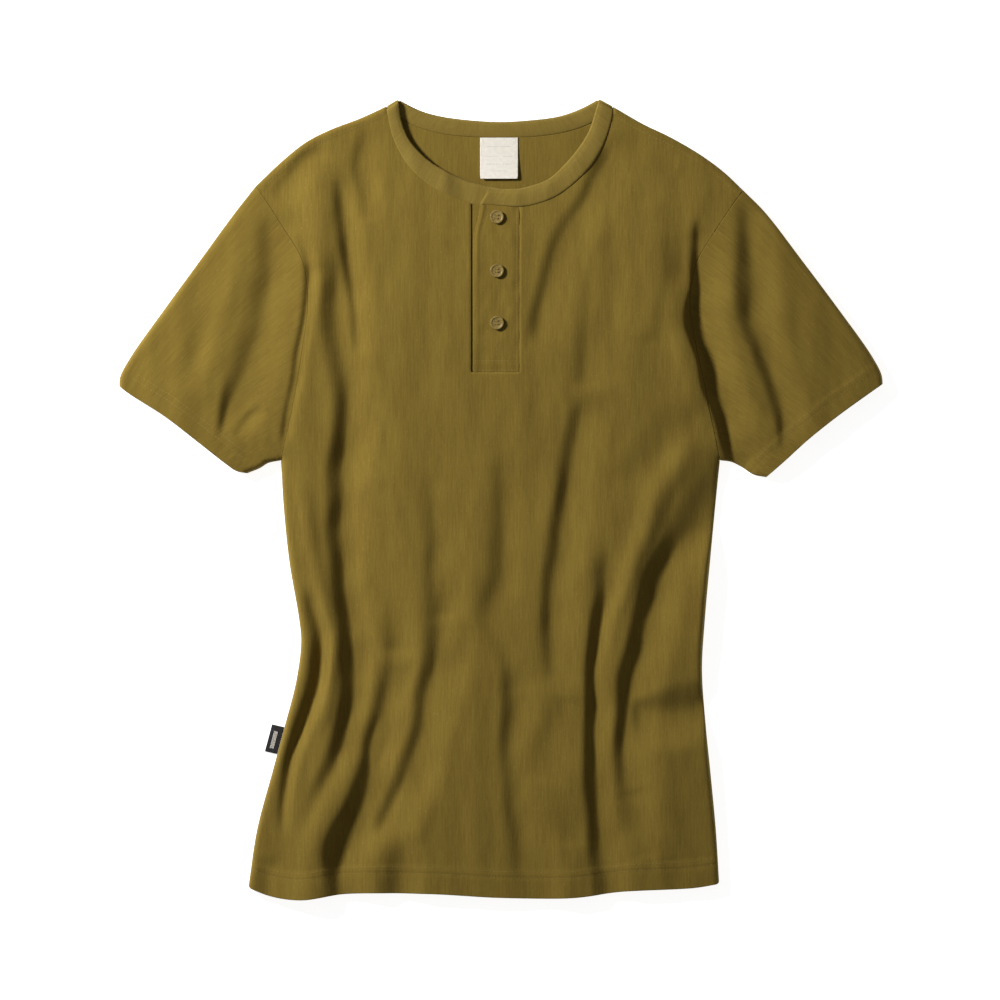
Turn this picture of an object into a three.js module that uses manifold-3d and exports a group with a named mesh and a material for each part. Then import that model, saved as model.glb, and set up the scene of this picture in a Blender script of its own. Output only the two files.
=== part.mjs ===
// Henley shirt in a heavy olive knit, lying flat and face up, as its maker cuts and sews it.
// Millimetres. +Z is up from the surface it lies on, +Y runs from hem to neck, and +X is the
// wearer's left. Left and right below are as seen from above, so left is at -X. The origin is
// the middle of the shirt's box, on that surface.
import * as THREE from "three";
import { mergeVertices } from "three/addons/utils/BufferGeometryUtils.js";
import Module from "manifold-3d";

// Cloth
const KNIT = 1.4; // wall of the front, back and sleeves
const BAND = 2; // the neckband is folded double
const STRIP = 1.2; // wall of each placket strip
const GAP = 0.3; // clearance between two sewn pieces
const STEEPEST = 1.6; // most that a sloping wall is deepened by
const RIM = 30; // the cloth rounds up to its full loft over this width from a closed edge
const FOLD_IN = 2; // width of the bend where a sleeve turns from its upper to its lower side

// Front opening
const SLIT_LEFT = -26.3; // edges of the slit in the front
const SLIT_RIGHT = 16;
const SLIT_FOOT = 113.5;
const PLACKET_EDGE = -24.6; // free edge of the upper strip
const PLACKET_CURVE = { foot: 228, head: 262, swing: 6 }; // its top swings in to the band's end
const BUTTON_X = -3.5;
const BUTTON_HEIGHTS = [250.5, 203, 157];

// Buttons, a common four-hole shirt button
const BUTTON_ACROSS = 12;
const BUTTON_THICK = 2.4;
const BUTTON_DISH = 0.8; // depth of the dished middle
const BUTTON_RIM = 1.5; // width of the raised rim
const BUTTON_BEVEL = 0.4;
const HOLE_ACROSS = 1.5;
const HOLE_OFFSET = 1.35; // of each hole's centre from the button's, along X and Y

// Neckband: its height over the front, its middle's crown, and its ends over and under the
// placket, each as the inner edge's and the seam's point
const BAND_PROUD = 0.3;
const BAND_CROWN = 0.5;
const BAND_CORNER = 2.4; // it turns this far inside the corner where both panels meet
const BAND_START = [[[-9.7, 276.3], [-18.4, 261.4]], [[3.5, 275.3], [0, 260.2]]];
const BAND_FINISH = [[[-14, 278], [-14, 260.6]], [[-1, 276], [-2, 260.2]]];
const BAND_SINK = { from: -54, to: -30 }; // where its end goes down under the placket, along X

// Labels
const NECK_LABEL = { left: -18.5, right: 15, foot: 283.5, head: 320, thick: 0.7, curl: 2 };
const SIDE_LABEL = { out: 11, foot: -224.5, head: -200.5, tilt: 2.5, thick: 1, rise: 0.9 };

// Grid of the panels: rows up the side seam and up the armhole, columns over each stretch
const SIDE_ROWS = 17;
const ARM_ROWS = 15;
const SHOULDER_COLUMNS = 13;
const NECK_COLUMNS = 24;
const SLEEVE_RINGS = 13;
const BACK_COLUMNS = 14; // over the neck, and as many cross-sections of the band behind it
const BACK_SHOULDER_COLUMNS = 3;

// The shirt's edges as it lies, as x, y of the points that a smooth curve runs through. A side,
// armhole, shoulder or neck edge starts at its lower or left end, and a sleeve's at the body.
const EDGES = {
  hem: [[-223.5, -342.5], [-204, -350], [-178, -353.4], [-137, -348], [-63, -348], [1, -351.4],
    [64, -351.4], [107, -346], [171, -342.6], [193, -339]],
  sideLeft: [[-223.5, -342.5], [-215.7, -291], [-201.6, -238], [-191, -198.5], [-181, -159],
    [-176.8, -125], [-178.6, -105], [-187.4, -53], [-192.7, 0], [-194.5, 35.5]],
  sideRight: [[193, -339], [190, -291], [185, -238], [181, -198], [177.8, -150], [180.3, -105.6],
    [185, -53], [190, 0], [193.6, 35.5]],
  armholeLeft: [[-194.5, 35.5], [-183, 89], [-175, 137.5], [-170.6, 177], [-175, 211],
    [-195.4, 246], [-216.5, 278.5]],
  armholeRight: [[193.6, 35.5], [182, 93], [172.4, 137.5], [167, 177], [173.3, 211],
    [191, 241], [214, 274.5]],
  shoulderLeft: [[-216.5, 278.5], [-192.7, 301], [-172.4, 317], [-152, 327.5], [-124.6, 338],
    [-101.7, 348.5]],
  shoulderRight: [[99.5, 348], [125.5, 333], [148.5, 322], [176, 306], [197, 290.5], [214, 274.5]],
  sleeveTopLeft: [[-216.5, 278.5], [-235, 255], [-266, 212.6], [-297, 170], [-327, 127.7],
    [-337, 109], [-337.6, 101]],
  sleeveTopRight: [[214, 274.5], [233.4, 255], [266, 212.6], [297.9, 170], [328, 127.7],
    [336.6, 111], [337.6, 103]],
  cuffLeft: [[-224.5, 24], [-234, 26], [-243, 32], [-270.5, 53.5], [-298, 74.7], [-330, 95],
    [-337.6, 101]],
  cuffRight: [[234.5, 20.5], [250, 34], [271.4, 53.5], [298, 74.7], [329, 97], [337.6, 103]],
  underarmLeft: [[-194.5, 35.5], [-206, 33], [-213, 28.7], [-224.5, 24]],
  underarmRight: [[193.6, 35.5], [204, 34], [213, 29.5], [223, 23], [234.5, 20.5]],
  frontNeck: [[-101.7, 348.5], [-94.6, 318.7], [-80.4, 294], [-58.3, 275.4], [-33.6, 264],
    [-25, 261], [16, 259], [35.4, 263], [53, 271], [79.6, 295], [90.2, 312.5], [98.1, 336],
    [99.5, 348]],
  backNeck: [[-101.7, 348.5], [-86.6, 336.4], [-67, 328], [-40.7, 322.7], [-1, 321], [39, 322.7],
    [65.4, 328], [85, 336.4], [99.5, 348]],
  bandLeft: [[-27.4, 281.6], [-45, 289.5], [-62.8, 300], [-80.4, 318], [-88.4, 336.4], [-91, 353.6]],
  bandRight: [[16, 275.6], [25.6, 278], [41.5, 284], [55.7, 296.6], [69, 312.5], [78, 327.5],
    [83, 342.6], [86.6, 354]],
  bandBack: [[86.6, 354], [71.6, 347], [52, 340], [25.6, 336.4], [-1, 335], [-27.4, 336.4],
    [-54, 340], [-71.6, 345], [-91, 353.6]],
};

// Loft of the upper cloth over the back, by height up the shirt
const LOFT = [[-352, 5.5], [-270, 8], [-120, 8.5], [40, 7], [160, 6], [280, 4.5], [355, 3]];

// The largest folds, each from its upper end. depth is how far the cloth dips, or rises where
// it is negative, and left and right are the widths of the two slopes. A path that runs past the
// hem keeps its depth there.
const FOLDS = [
  { name: "left chest line", depth: 1.6, left: 9, right: 5,
    path: [[-148, 287], [-135, 201], [-125, 132]] },
  { name: "left flank", depth: 6, left: 15, right: 8,
    path: [[-154, 215], [-144, 97], [-151, 0], [-138, -123], [-141, -192], [-175, -270]] },
  { name: "left waist", depth: 4.5, left: 11, right: 9,
    path: [[-182, -62], [-158, -115], [-165, -155], [-184, -192], [-197, -229], [-197, -300]] },
  { name: "left hem", depth: 8, left: 17, right: 9,
    path: [[-98, -125], [-113, -192], [-135, -267], [-153, -305], [-147, -430]] },
  { name: "left belly", depth: 5, left: 15, right: 8,
    path: [[-50, -95], [-68, -155], [-80, -205], [-95, -255], [-116, -310]] },
  { name: "centre hem", depth: 4.5, left: 13, right: 8,
    path: [[2, -140], [4, -200], [6, -245], [16, -430]] },
  { name: "right belly", depth: 3.5, left: 14, right: 10,
    path: [[72, 115], [52, 4], [39, -123], [50, -205]] },
  { name: "right hem", depth: 6.5, left: 12, right: 7,
    path: [[95, -20], [80, -118], [78, -212], [84, -320], [88, -430]] },
  { name: "right flank", depth: 6.5, left: 15, right: 9,
    path: [[190, 55], [157, 13], [137, -40], [115, -123], [103, -203], [109, -275]] },
  { name: "right waist dent", depth: 4, left: 9, right: 12,
    path: [[108, -184], [140, -176], [190, -166]] },
  { name: "right chest", depth: 2.6, left: 20, right: 16,
    path: [[126, 325], [94, 285], [54, 245], [29, 185], [22, 120]] },
  { name: "right armhole", depth: 7, left: 14, right: 7,
    path: [[172, 272], [162, 204], [166, 177], [175, 142], [188, 98], [204, 20]] },
  { name: "right sleeve", depth: 4.5, left: 11, right: 7,
    path: [[203, 268], [210, 168], [229, 106], [236, 75], [233, 40]] },
  { name: "left sleeve", depth: 3.5, left: 12, right: 9,
    path: [[-213, 262], [-207, 220], [-218, 167], [-237, 97], [-252, 52]] },
  { name: "left armhole shade", depth: 4.5, left: 9, right: 5,
    path: [[-180, 225], [-178, 178], [-186, 132], [-196, 85], [-203, 30]] },
  { name: "left armhole roll", depth: -2.6, left: 7, right: 10,
    path: [[-160, 240], [-165, 178], [-173, 132], [-184, 85], [-188, 25]] },
];

const clamp = THREE.MathUtils.clamp;
const lerp = THREE.MathUtils.lerp;
const between = (p, q, t) => [lerp(p[0], q[0], t), lerp(p[1], q[1], t)];
const steps = (from, to, count) => Array.from({ length: count + 1 }, (_, i) => lerp(from, to, i / count));
// The point a given distance from one plan point towards another.
const inset = (p, q, by) => between(p, q, by / Math.hypot(q[0] - p[0], q[1] - p[1]));

// A smooth curve through points in plan.
function smooth(points) {
  const through = points.map(([x, y]) => new THREE.Vector3(x, y, 0));
  return new THREE.CatmullRomCurve3(through, false, "centripetal");
}

const plan = (points, count) => smooth(points).getSpacedPoints(count).map(({ x, y }) => [x, y]);

// Reads a curve as one coordinate worked out from the other, which grows along it.
function reader(points, key, value) {
  const line = plan(points, 160);
  if (line[0][key] > line.at(-1)[key]) line.reverse();
  return (at) => {
    const i = clamp(line.findIndex((p) => p[key] >= at), 0, line.length - 1);
    if (at >= line.at(-1)[key]) return line.at(-1)[value];
    if (i === 0) return line[0][value];
    const t = (at - line[i - 1][key]) / (line[i][key] - line[i - 1][key]);
    return lerp(line[i - 1][value], line[i][value], t);
  };
}

const X = 0;
const Y = 1;
const loftAt = reader(LOFT, X, Y);
const hemAt = reader(EDGES.hem, X, Y);

// The nearest place on a line: its distance, the side it is on and how far along the line it lies.
function nearest(line, x, y) {
  let best = { distance: Infinity, side: 1, along: 0 };
  for (let i = 1; i < line.length; i++) {
    const [ax, ay] = line[i - 1];
    const dx = line[i][0] - ax;
    const dy = line[i][1] - ay;
    const t = clamp(((x - ax) * dx + (y - ay) * dy) / (dx * dx + dy * dy), 0, 1);
    const distance = Math.hypot(x - ax - t * dx, y - ay - t * dy);
    if (distance < best.distance) {
      const side = Math.sign(dx * (y - ay) - dy * (x - ax)) || 1;
      best = { distance, side, along: (i - 1 + t) / (line.length - 1) };
    }
  }
  return best;
}

const foldLines = FOLDS.map((fold) => ({ ...fold, line: plan(fold.path, 20) }));
const closedEdges = ["sideLeft", "sideRight", "shoulderLeft", "shoulderRight", "sleeveTopLeft",
  "sleeveTopRight", "underarmLeft", "underarmRight"].map((name) => plan(EDGES[name], 24));
closedEdges.push([EDGES.shoulderLeft.at(-1), EDGES.bandLeft.at(-1)]);
closedEdges.push([EDGES.shoulderRight[0], EDGES.bandRight.at(-1)]);

// How far the upper cloth stands off the lower: its loft and folds, rounded down to closed edges.
function lift(x, y) {
  let height = loftAt(y);
  for (const { line, depth, left, right } of foldLines) {
    const { distance, side, along } = nearest(line, x, y);
    const width = side < 0 ? left : right;
    const fade = THREE.MathUtils.smoothstep(Math.min(along, 1 - along), 0, 0.22);
    height -= depth * fade * Math.exp(-((distance / width) ** 2));
  }
  const above = (height + Math.hypot(height, 1)) / 2;
  const edge = Math.min(...closedEdges.map((line) => nearest(line, x, y).distance), RIM) / RIM;
  return above * Math.sqrt(1 - (1 - edge) ** 2);
}

// Vertical depth of a wall of this thickness on the slope of the upper cloth.
function depthOf(thick, x, y) {
  const slope = Math.hypot(lift(x + 1, y) - lift(x - 1, y), lift(x, y + 1) - lift(x, y - 1)) / 2;
  return thick * Math.min(Math.hypot(1, slope), STEEPEST);
}

const under = (x, y) => KNIT + GAP + lift(x, y);
const over = (x, y) => under(x, y) + depthOf(KNIT, x, y);

// A closed body from its points and faces, turned so that its faces point out.
function body(points, faces) {
  const geometry = new THREE.BufferGeometry().setFromPoints(points);
  const volume = faces.reduce((sum, [a, b, c]) => {
    return sum + points[a].dot(new THREE.Vector3().crossVectors(points[b], points[c]));
  }, 0);
  geometry.setIndex((volume < 0 ? faces.map((face) => face.toReversed()) : faces).flat());
  return geometry;
}

// Splits a four-sided face along the diagonal that bends less.
function quad(points, a, b, c, d) {
  const one = Math.abs(points[a].z - points[c].z);
  const other = Math.abs(points[b].z - points[d].z);
  return one <= other ? [[a, b, c], [a, c, d]] : [[a, b, d], [b, c, d]];
}

// A wall over a grid of plan points, between its lower and its upper face.
function wall(grid, low, high) {
  const rows = grid[0].length;
  const flat = grid.flat();
  const points = [low, high].flatMap((z) => flat.map(([x, y]) => new THREE.Vector3(x, y, z(x, y))));
  const at = (i, j, face) => face * flat.length + i * rows + j;
  const faces = [];
  for (let i = 1; i < grid.length; i++) {
    for (let j = 1; j < rows; j++) {
      faces.push(...quad(points, at(i - 1, j - 1, 1), at(i, j - 1, 1), at(i, j, 1), at(i - 1, j, 1)));
      faces.push(...quad(points, at(i - 1, j - 1, 0), at(i - 1, j, 0), at(i, j, 0), at(i, j - 1, 0)));
    }
  }
  const last = grid.length - 1;
  const round = [
    ...grid.slice(1).map((_, i) => [i, 0]),
    ...grid[0].slice(1).map((_, j) => [last, j]),
    ...grid.slice(1).map((_, i) => [last - i, rows - 1]),
    ...grid[0].slice(1).map((_, j) => [0, rows - 1 - j]),
  ];
  round.forEach(([i, j], k) => {
    const [p, q] = round[(k + 1) % round.length];
    faces.push([at(i, j, 0), at(p, q, 0), at(p, q, 1)], [at(i, j, 0), at(p, q, 1), at(i, j, 1)]);
  });
  return body(points, faces);
}

// Joins a row of loops that all have the same number of points. Each end is closed by the faces
// that endFaces gives for a loop.
function skin(loops, endFaces) {
  const count = loops[0].length;
  const points = loops.flat();
  const faces = [];
  for (let s = 0; s < loops.length - 1; s++) {
    for (let i = 0; i < count; i++) {
      const [a, b] = [s * count + i, s * count + ((i + 1) % count)];
      faces.push(...quad(points, a, b, b + count, a + count));
    }
  }
  const last = (loops.length - 1) * count;
  for (const [a, b, c] of endFaces) faces.push([c, b, a], [last + a, last + b, last + c]);
  return body(points, faces);
}

// The solid of a closed geometry, and the geometry of a solid.
const wasm = await Module();
wasm.setup();

function solidOf(geometry) {
  const bare = geometry.clone().deleteAttribute("normal").deleteAttribute("uv");
  const merged = mergeVertices(bare, 1e-4);
  const triVerts = Uint32Array.from(merged.index.array);
  const vertProperties = merged.attributes.position.array;
  return new wasm.Manifold(new wasm.Mesh({ numProp: 3, vertProperties, triVerts }));
}

function geometryOf(solid) {
  const { vertProperties, triVerts } = solid.getMesh();
  const geometry = new THREE.BufferGeometry();
  geometry.setAttribute("position", new THREE.BufferAttribute(vertProperties, 3));
  geometry.setIndex(new THREE.BufferAttribute(triVerts, 1));
  return geometry;
}

// Body panels. Each column of the grid climbs from the hem to the top edge, between the sides.
function sides(clear) {
  const along = (side, armhole, sign) => {
    const low = reader(EDGES[side], Y, X);
    const high = reader(EDGES[armhole], Y, X);
    const corner = EDGES[armhole][0][Y];
    return (y) => (y < corner ? low(y) : high(y) + sign * clear);
  };
  return [along("sideLeft", "armholeLeft", 1), along("sideRight", "armholeRight", -1)];
}

const climb = (corner, underarm, tip) => [
  ...steps(corner, underarm, SIDE_ROWS),
  ...steps(underarm, tip, ARM_ROWS).slice(1),
];
const heightsLeft = climb(EDGES.hem[0][Y], EDGES.armholeLeft[0][Y], EDGES.armholeLeft.at(-1)[Y]);
const heightsRight = climb(EDGES.hem.at(-1)[Y], EDGES.armholeRight[0][Y], EDGES.armholeRight.at(-1)[Y]);
const share = (heights) => heights.map((y) => (y - heights[0]) / (heights.at(-1) - heights[0]));

const tipLeft = EDGES.armholeLeft.at(-1)[X];
const tipRight = EDGES.armholeRight.at(-1)[X];
const neckLeft = EDGES.frontNeck[0][X];
const neckRight = EDGES.frontNeck.at(-1)[X];

// Columns over the neck stand closer near its ends, where the neckline is steep.
function spread(from, to, count) {
  return steps(0, 1, count).map((t) => lerp(from, to, (t + (1 - Math.cos(Math.PI * t)) / 2) / 2));
}
const columnsOver = (shoulder, neck) => [
  ...steps(tipLeft, neckLeft, shoulder),
  ...spread(neckLeft, neckRight, neck).slice(1),
  ...steps(neckRight, tipRight, shoulder).slice(1),
];

function panel(neck, columns) {
  const [left, right] = sides(GAP / 2);
  const [leftShare, rightShare] = [share(heightsLeft), share(heightsRight)];
  const tops = ["shoulderLeft", neck, "shoulderRight"].map((name) => reader(EDGES[name], X, Y));
  const topAt = (x) => (x < neckLeft ? tops[0] : x > neckRight ? tops[2] : tops[1])(x);
  return columns.map((top) => {
    const u = (top - tipLeft) / (tipRight - tipLeft);
    const place = (y) => [lerp(left(y), right(y), u), y];
    let [foot, head] = [EDGES.hem[0][Y], topAt(top)];
    for (let pass = 0; pass < 6; pass++) {
      foot = hemAt(place(foot)[X]);
      head = topAt(place(head)[X]);
    }
    return leftShare.map((low, i) => place(lerp(foot, head, lerp(low, rightShare[i], u))));
  });
}

function frontPanel() {
  const grid = panel("frontNeck", columnsOver(SHOULDER_COLUMNS, NECK_COLUMNS));
  const tall = 2 * SLIT_FOOT;
  const slit = new THREE.BoxGeometry(SLIT_RIGHT - SLIT_LEFT, tall, tall);
  slit.translate((SLIT_LEFT + SLIT_RIGHT) / 2, SLIT_FOOT + tall / 2, 0);
  return geometryOf(solidOf(wall(grid, under, over)).subtract(solidOf(slit)));
}

function backPanel() {
  const grid = panel("backNeck", columnsOver(BACK_SHOULDER_COLUMNS, BACK_COLUMNS));
  return wall(grid, () => 0, () => KNIT);
}

// Sleeves. Each ring runs over the upper side, round the top fold, back along the lower side and
// round the underarm. The armhole's points are the panels' own, moved out by the seam's gap.
function sleeve(hand, sign, heights) {
  const armAt = reader(EDGES["armhole" + hand], Y, X);
  const arm = heights.slice(SIDE_ROWS).map((y) => [armAt(y) + (sign * GAP) / 2, y]);
  const cuff = plan(EDGES["cuff" + hand], ARM_ROWS);
  const low = plan(EDGES["underarm" + hand], SLEEVE_RINGS);
  const top = plan(EDGES["sleeveTop" + hand], SLEEVE_RINGS);
  const rings = steps(0, 1, SLEEVE_RINGS).map((s, i) => {
    const row = arm.map((_, j) => {
      const t = j / ARM_ROWS;
      const across = between(arm[j], cuff[j], s);
      const along = between(low[i], top[i], t);
      const plain = between(between(low[0], low.at(-1), s), between(top[0], top.at(-1), s), t);
      return [across[X] + along[X] - plain[X], across[Y] + along[Y] - plain[Y]];
    });
    return ring(row);
  });
  return tube(rings);
}

// One ring of a sleeve over its row of plan points: the loops of its outer and its inner face.
function ring(row) {
  const ends = [[row[0], row[1]], [row.at(-1), row.at(-2)]];
  const [start, finish] = ends.map(([end, next]) => inset(end, next, FOLD_IN));
  const upper = [start, ...row.slice(1, -1), finish];
  const lower = upper.toReversed();
  const point = ([x, y], z) => new THREE.Vector3(x, y, z);
  const loop = (depth, high, low) => {
    const bends = ends.map(([end, next]) => inset(end, next, depth));
    return [
      point(bends[0], (high(...start) + low) / 2),
      ...upper.map((p) => point(p, high(...p))),
      point(bends[1], (high(...finish) + low) / 2),
      ...lower.map((p) => point(p, low)),
    ];
  };
  return { outer: loop(0, over, 0), inner: loop(KNIT, under, KNIT) };
}

// A walled tube through rings, open at both ends.
function tube(rings) {
  const count = rings[0].outer.length;
  const points = rings.flatMap(({ outer, inner }) => [...outer, ...inner]);
  const at = (s, i, face) => (2 * s + face) * count + (i % count);
  const faces = [];
  for (let s = 0; s < rings.length - 1; s++) {
    for (let i = 0; i < count; i++) {
      faces.push(...quad(points, at(s, i, 0), at(s, i + 1, 0), at(s + 1, i + 1, 0), at(s + 1, i, 0)));
      faces.push(...quad(points, at(s, i, 1), at(s + 1, i, 1), at(s + 1, i + 1, 1), at(s, i + 1, 1)));
    }
  }
  const last = rings.length - 1;
  for (let i = 0; i < count; i++) {
    faces.push(...quad(points, at(0, i, 0), at(0, i, 1), at(0, i + 1, 1), at(0, i + 1, 0)));
    faces.push(...quad(points, at(last, i, 0), at(last, i + 1, 0), at(last, i + 1, 1), at(last, i, 1)));
  }
  return body(points, faces);
}

// Neckband. One doubled strip: it starts over the placket, runs round the wearer's left of the
// neck, turns under at the shoulder, crosses the back, comes up again and ends under its start.
const bandLow = (x, y) => KNIT + 2 * GAP + BAND_PROUD + lift(x, y);

// A cross-section of the band, from its inner edge to its seam, as a loop round both its faces.
// place puts a plan point on the outer face, 1, or the inner face, 0.
function bandSection(inner, seam, place, crown = 0) {
  const sewn = inset(seam, inner, GAP);
  const across = [inner, between(inner, sewn, 0.5), sewn];
  const outer = across.map((p, i) => place(p, 1, i === 1 ? crown : 0));
  return [...outer, ...across.toReversed().map((p) => place(p, 0, 0))];
}

// The turn of the band at a shoulder, from its upper side down to its lower side.
function bandTurn(inner, seam, sign) {
  const width = Math.hypot(seam[X] - inner[X], seam[Y] - inner[Y]);
  const out = new THREE.Vector3(inner[Y] - seam[Y], seam[X] - inner[X], 0).multiplyScalar(sign / width);
  const radius = (bandLow(...seam) + BAND) / 2;
  const sewn = inset(seam, inner, BAND_CORNER);
  return steps(Math.PI / 2, -Math.PI / 2, 4).map((angle) => {
    const swing = out.clone().multiplyScalar(Math.cos(angle)).add(new THREE.Vector3(0, 0, Math.sin(angle)));
    return bandSection(inner, sewn, ([x, y], face) => new THREE.Vector3(x, y, radius)
      .addScaledVector(out, -radius)
      .addScaledVector(swing, radius - (1 - face) * BAND));
  });
}

function neckband() {
  const seamAt = reader(EDGES.frontNeck, X, Y);
  const stations = spread(neckLeft, neckRight, NECK_COLUMNS).slice(1, -1).map((x) => [x, seamAt(x)]);
  const right = stations.filter(([x]) => x > SLIT_RIGHT);
  const left = stations.filter(([x]) => x < SLIT_LEFT);
  const innerRight = plan(EDGES.bandRight, right.length);
  const innerLeft = plan(EDGES.bandLeft, left.length);
  // The end under the placket sinks by a little more than the band's depth.
  const sink = (x) => THREE.MathUtils.smoothstep(x, BAND_SINK.from, BAND_SINK.to);
  const upper = ([x, y], face, crown) => new THREE.Vector3(x, y, bandLow(x, y) + face * BAND + crown);
  const sunk = ([x, y], face, crown) => new THREE.Vector3(x, y,
    bandLow(x, y) + face * BAND + crown * (1 - sink(x)) - (BAND + 2 * GAP) * sink(x));
  const behind = ([x, y], face) => new THREE.Vector3(x, y, (1 - face) * BAND);

  const backAt = reader(EDGES.backNeck, X, Y);
  const backSeam = spread(neckRight, neckLeft, BACK_COLUMNS).map((x) => [x, backAt(x)]);
  const backInner = plan(EDGES.bandBack, BACK_COLUMNS);
  const [turnRight, turnLeft] = [
    bandTurn(EDGES.bandRight.at(-1), EDGES.shoulderRight[0], 1),
    bandTurn(EDGES.bandLeft.at(-1), EDGES.shoulderLeft.at(-1), -1),
  ];
  return skin([
    ...BAND_START.map(([inner, seam]) => bandSection(inner, seam, upper, BAND_CROWN)),
    ...right.map((seam, i) => bandSection(innerRight[i], seam, upper, BAND_CROWN)),
    ...turnRight,
    ...backSeam.map((seam, i) => bandSection(backInner[i], seam, behind)).slice(1, -1),
    ...turnLeft.toReversed(),
    ...left.map((seam, i) => bandSection(innerLeft.at(-2 - i), seam, sunk, BAND_CROWN)),
    ...BAND_FINISH.map(([inner, seam]) => bandSection(inner, seam, sunk)),
  ], [[0, 1, 5], [1, 4, 5], [1, 2, 4], [2, 3, 4]]);
}

// Placket. Two strips fill the slit: the lower one is sewn to its left edge and the upper one to
// its right edge, and both are closed off at its foot.
function strip(leftAt, low, high) {
  const topAt = reader(EDGES.frontNeck, X, Y);
  const right = SLIT_RIGHT - GAP;
  const grid = steps(0, 1, 5).map((u) => steps(0, 1, 15).map((v) => {
    const head = topAt(lerp(SLIT_LEFT, right, u)) - 2 * GAP;
    const y = lerp(SLIT_FOOT + GAP, head, v);
    return [lerp(leftAt(y), right, u), y];
  }));
  return wall(grid, low, high);
}

const stripLow = (x, y) => under(x, y) + STRIP + GAP;
const stripTop = (x, y) => stripLow(x, y) + STRIP;

function lowerStrip() {
  return strip(() => SLIT_LEFT + GAP, under, (x, y) => under(x, y) + STRIP);
}

function upperStrip() {
  const { foot, head, swing } = PLACKET_CURVE;
  const edge = (y) => PLACKET_EDGE + swing * THREE.MathUtils.smoothstep(y, foot, head);
  return strip(edge, stripLow, stripTop);
}

// Buttons. Each sits on the upper strip, square to its slope and just clear of its highest point.
function buttonShape() {
  const radius = BUTTON_ACROSS / 2;
  const bevel = BUTTON_BEVEL;
  const profile = [
    [0, 0], [radius - bevel, 0], [radius, bevel], [radius, BUTTON_THICK - bevel],
    [radius - bevel, BUTTON_THICK], [radius - BUTTON_RIM, BUTTON_THICK],
    [radius - BUTTON_RIM - bevel, BUTTON_THICK - BUTTON_DISH], [0, BUTTON_THICK - BUTTON_DISH],
  ].map(([x, y]) => new THREE.Vector2(x, y));
  const disc = new THREE.LatheGeometry(profile, 24).rotateX(Math.PI / 2);
  const holes = [[1, 1], [1, -1], [-1, 1], [-1, -1]].map(([right, up]) => {
    const hole = new THREE.CylinderGeometry(HOLE_ACROSS / 2, HOLE_ACROSS / 2, 4 * BUTTON_THICK, 8);
    return hole.rotateX(Math.PI / 2).translate(right * HOLE_OFFSET, up * HOLE_OFFSET, 0);
  });
  return geometryOf(holes.reduce((rest, hole) => rest.subtract(solidOf(hole)), solidOf(disc)));
}

function placeButton(mesh, y) {
  const reach = BUTTON_ACROSS / 2;
  const slopeX = (stripTop(BUTTON_X + reach, y) - stripTop(BUTTON_X - reach, y)) / (2 * reach);
  const slopeY = (stripTop(BUTTON_X, y + reach) - stripTop(BUTTON_X, y - reach)) / (2 * reach);
  const middle = stripTop(BUTTON_X, y);
  const rise = steps(0, 2 * Math.PI, 16).map((angle) => {
    const [dx, dy] = [reach * Math.cos(angle), reach * Math.sin(angle)];
    return stripTop(BUTTON_X + dx, y + dy) - middle - slopeX * dx - slopeY * dy;
  });
  mesh.position.set(BUTTON_X, y, middle + Math.max(0, ...rise) + GAP);
  const normal = new THREE.Vector3(-slopeX, -slopeY, 1).normalize();
  mesh.quaternion.setFromUnitVectors(new THREE.Vector3(0, 0, 1), normal);
}

// Labels. The neck label hangs from the back neck seam, its lower end a little off the cloth, and
// the side label is a loop of tape caught in the side seam.
function neckLabel() {
  const { left, right, foot, head, thick, curl } = NECK_LABEL;
  const grid = steps(left, right, 4).map((x) => steps(foot, head, 6).map((y) => [x, y]));
  const low = (x, y) => KNIT + GAP + curl * ((head - y) / (head - foot)) ** 2;
  return wall(grid, low, (x, y) => low(x, y) + thick);
}

function sideLabel() {
  const { out, foot, head, tilt, thick, rise } = SIDE_LABEL;
  const seamAt = reader(EDGES.sideLeft, Y, X);
  const grid = steps(1, 0, 3).map((t) => steps(foot, head, 4).map((y) => {
    return [seamAt(y) - GAP - out * t, y + tilt * t];
  }));
  const low = (x, y) => rise * clamp(1 - (seamAt(y) - x) / out, 0, 1);
  return wall(grid, low, (x, y) => low(x, y) + thick);
}

// Finishes
const finish = (color, roughness) => new THREE.MeshStandardMaterial({ color, roughness, metalness: 0 });
const knit = finish("#7a642a", 0.92);
const horn = finish("#8a7a4e", 0.45);

const shirt = new THREE.Group();
function add(name, geometry, material) {
  const mesh = new THREE.Mesh(geometry, material);
  mesh.name = name;
  shirt.add(mesh);
  return mesh;
}

add("back_panel", backPanel(), knit);
add("front_panel", frontPanel(), knit);
add("sleeve_left", sleeve("Left", -1, heightsLeft), knit);
add("sleeve_right", sleeve("Right", 1, heightsRight), knit);
add("neckband", neckband(), knit);
add("placket_under", lowerStrip(), knit);
add("placket_top", upperStrip(), knit);
const button = buttonShape();
BUTTON_HEIGHTS.forEach((y, i) => placeButton(add("button_" + (i + 1), button, horn), y));
add("neck_label", neckLabel(), finish("#f4f1e8", 0.8));
add("side_label", sideLabel(), finish("#1d1d1f", 0.7));

export default shirt;
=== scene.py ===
"""Henley shirt in a heavy olive slub knit, lying flat and face up on a white table.

Sizes in this script are in millimetres, as a maker measures cloth, and meshes are made in metres.
+Z is up from the table, +Y runs from hem to neck and +X is the wearer's left. Left and right are
as seen from above, so left is at -X.
"""

import math

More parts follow.
